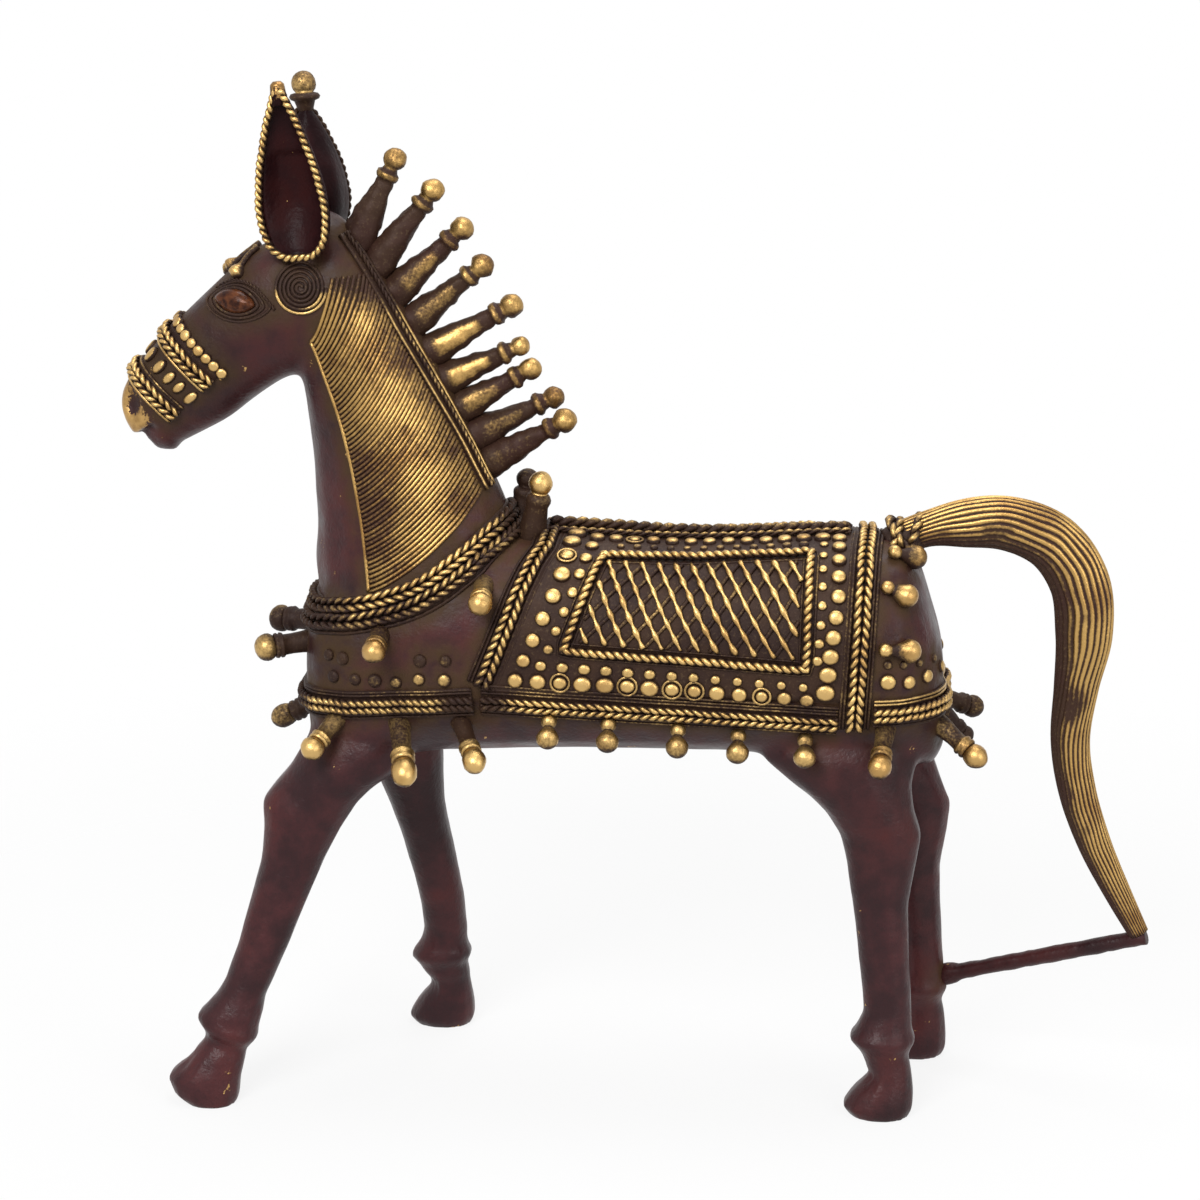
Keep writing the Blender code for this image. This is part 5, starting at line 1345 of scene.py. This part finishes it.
def round_end(run, outward):
    """A band's path along the left flank, round one end of the body and back along the right flank."""
    start, turn, tip_z = run
    straight = [(x, z, (0, -1, 0)) for x, z in np.linspace(start, turn, 20)]
    fan = []
    for a in np.radians(np.linspace(-86, 86, 60)):
        fan.append((turn[0], turn[1] + (tip_z - turn[1]) * cos(a), (outward * cos(a), sin(a), 0)))
    lines = straight + fan + [(x, z, (0, 1, 0)) for x, z, _ in straight[::-1]]
    points, outs = laid([mm(x, 0, z) for x, z, _ in lines], [w for _, _, w in lines], 8)
    return followed(points, outs, 160)


def end_band(label, run, outward, level, rail_levels, pegs, studs):
    """A band round one end of the body with pegs and studs; rail_levels are for right and left threads."""
    wax = Wax()
    rails = [(s, END_RAIL_RADIUS, rail_levels[s > 0], 0.5) for s in (-3.3, -2.5, 2.5, 3.4)]
    bind(wax, round_end(run, outward), 3.7, END_CORD, 1.0, (-outward, -outward), level, rails)
    for place in pegs:
        peg(wax, *place)
    for side in (-1, 1):
        path = flank([stud[:2] for stud in studs], side, 0)
        for place, out, (_, _, *sizes) in zip(*path, studs):
            wax.stud(place, out, *sizes)
    wax.cast(label + "_band_plait", label + "_band")


studs = [(x, z, 1.65 + 0.15 * sin(4 * k), 0.65, shine) for k, (x, z, shine) in enumerate(CHEST_STUDS)]
end_band("breast", BREAST_RUN, -1, 0.85, (0.62, 0.5), BREAST_PEGS, studs)
studs = [(x, z, size, 0.6, 0.9 if size > 1.5 else 0.58) for x, z, size in RUMP_STUDS]
end_band("rump", RUMP_RUN, 1, 0.95, (0.5, 0.85), RUMP_PEGS, studs)


# Handling and grime
# Brown grime stays in the corners where threads and pegs meet the body, and the nose is rubbed bright.
# The patina is darkened towards black on the face, the left hind leg and the right front leg.

GRIME_REACH = 3.6 * MM
NOSE_TIP, NOSE_SHINE = (-128, 0, 170), (8.5 * MM, 13.5 * MM)
# Middle, reach (mm) and darkness
DARKENED_PLACES = (
    ((-104, 0, 190), 30, 0.32),
    ((60, -18, 80), 20, 0.25),
    ((62, -16, 6), 18, 0.25),
    ((-52, 16, 60), 40, 0.2),
)

trappings = KDTree(len(relief_points))
for k, point in enumerate(relief_points):
    trappings.insert(point, k)
trappings.balance()
for node, piece in body_pieces.items():
    points = vectors_of(piece.data, "co")
    nearest = np.array([trappings.find(p)[2] for p in points])
    store_measure(piece.data, "grime", hill(nearest, 0, GRIME_REACH))
    rub = np.zeros(len(points))
    if node == "head":
        rub = 1 - ramp(away_from(NOSE_TIP, points), *NOSE_SHINE)
        rub *= ramp(from_mouth(points)[1], 0.3 * MM, 1.6 * MM)
        for side in (-1, 1):
            rub *= ramp(in_nostril(points, side), 0.7, 1.2)
    store_measure(piece.data, "rub", rub)
    darkening = np.zeros(len(points))
    for centre, reach, share in DARKENED_PLACES:
        darkening = np.maximum(darkening, share * hill(away_from(centre, points), 0, reach * MM, 4))
    store_measure(piece.data, "darkening", darkening)


# Floor, light and camera
# A pale studio floor that fades into white, soft lamps round the front and a long lens at the horse's left.
# None of it is part of the horse.

FLOOR_SIZE, FLOOR_GREY, FLOOR_WHITE, FLOOR_FADE = 6.0, 0.9, 0.86, (0.18, 0.42)
SKY_LIGHT, SKY_SEEN = 0.22, 1.0
CAMERA_AZIMUTH, CAMERA_ELEVATION = radians(5), radians(14)
CAMERA_DISTANCE = 0.8
CAMERA_LENS, CAMERA_SENSOR = 96.0, 36.0
CAMERA_TARGET = Vector((-9.44, 0, 125.63)) * MM
# Place, size (metres) and power (watts)
LAMPS = {
    "key": ((-0.28, -0.82, 0.75), 0.5, 8.5),
    "fill": ((0.65, -0.6, 0.35), 0.5, 2.2),
    "top": ((0.1, 0.15, 0.95), 0.6, 4.5),
}


def seen_rays(nodes):
    """1 for rays that see something straight, mirrored or through glass, 0 for those that only light it."""
    path = nodes.node("LightPath", {}).outputs
    return nodes.most(nodes.most(path["Is Camera Ray"], path["Is Glossy Ray"]), path["Is Transmission Ray"])


def pale_floor():
    finish = Finish("pale_floor")
    finish.feed(finish.shader.inputs["Base Color"], (FLOOR_GREY, FLOOR_GREY, FLOOR_GREY, 1.0))
    finish.feed(finish.shader.inputs["Roughness"], 0.9)
    away = finish.node("VectorMath", {0: finish.place}, operation="LENGTH").outputs["Value"]
    white = finish.node("Emission", {"Strength": 1.0}).outputs[0]
    shown = finish.times(seen_rays(finish), FLOOR_WHITE)
    pale = finish.node("MixShader", {0: shown, 1: finish.shader.outputs[0], 2: white}).outputs[0]
    clear = finish.node("BsdfTransparent", {}).outputs[0]
    mixed = finish.node("MixShader", {0: finish.ease(away, *FLOOR_FADE), 1: pale, 2: clear})
    finish.feed(finish.tree.nodes["Material Output"].inputs["Surface"], mixed.outputs[0])
    return finish.material


floor_mesh = bpy.data.meshes.new("floor")
half = FLOOR_SIZE / 2
corners = [(x * half, y * half, 0) for x, y in ((-1, -1), (1, -1), (1, 1), (-1, 1))]
floor_mesh.from_pydata(corners, [], [(0, 1, 2, 3)])
floor_mesh.materials.append(pale_floor())
link("floor", floor_mesh)

world = bpy.data.worlds.new("studio")
bpy.context.scene.world = world
world.use_nodes = True
sky = Nodes(world.node_tree)
strength = sky.node("MapRange", {"Value": seen_rays(sky), "To Min": SKY_LIGHT, "To Max": SKY_SEEN})
background = sky.tree.nodes["Background"].inputs
sky.feed(background["Color"], (1.0, 1.0, 1.0, 1.0))
sky.feed(background["Strength"], strength.outputs["Result"])

for name, (place, size, power) in LAMPS.items():
    lamp = bpy.data.lights.new(name, "AREA")
    lamp.size = size
    lamp.energy = power
    holder = link(name, lamp)
    holder.location = place
    holder.rotation_euler = (CAMERA_TARGET - holder.location).to_track_quat("-Z", "Y").to_euler()

camera = bpy.data.cameras.new("camera")
camera.lens = CAMERA_LENS
camera.sensor_width = CAMERA_SENSOR
viewer = link("camera", camera)
ring = cos(CAMERA_ELEVATION)
back = Vector((sin(CAMERA_AZIMUTH) * ring, -cos(CAMERA_AZIMUTH) * ring, sin(CAMERA_ELEVATION)))
viewer.location = CAMERA_TARGET + back * CAMERA_DISTANCE
viewer.rotation_euler = (-back).to_track_quat("-Z", "Y").to_euler()
bpy.context.scene.camera = viewer
bpy.context.scene.view_settings.view_transform = "Standard"
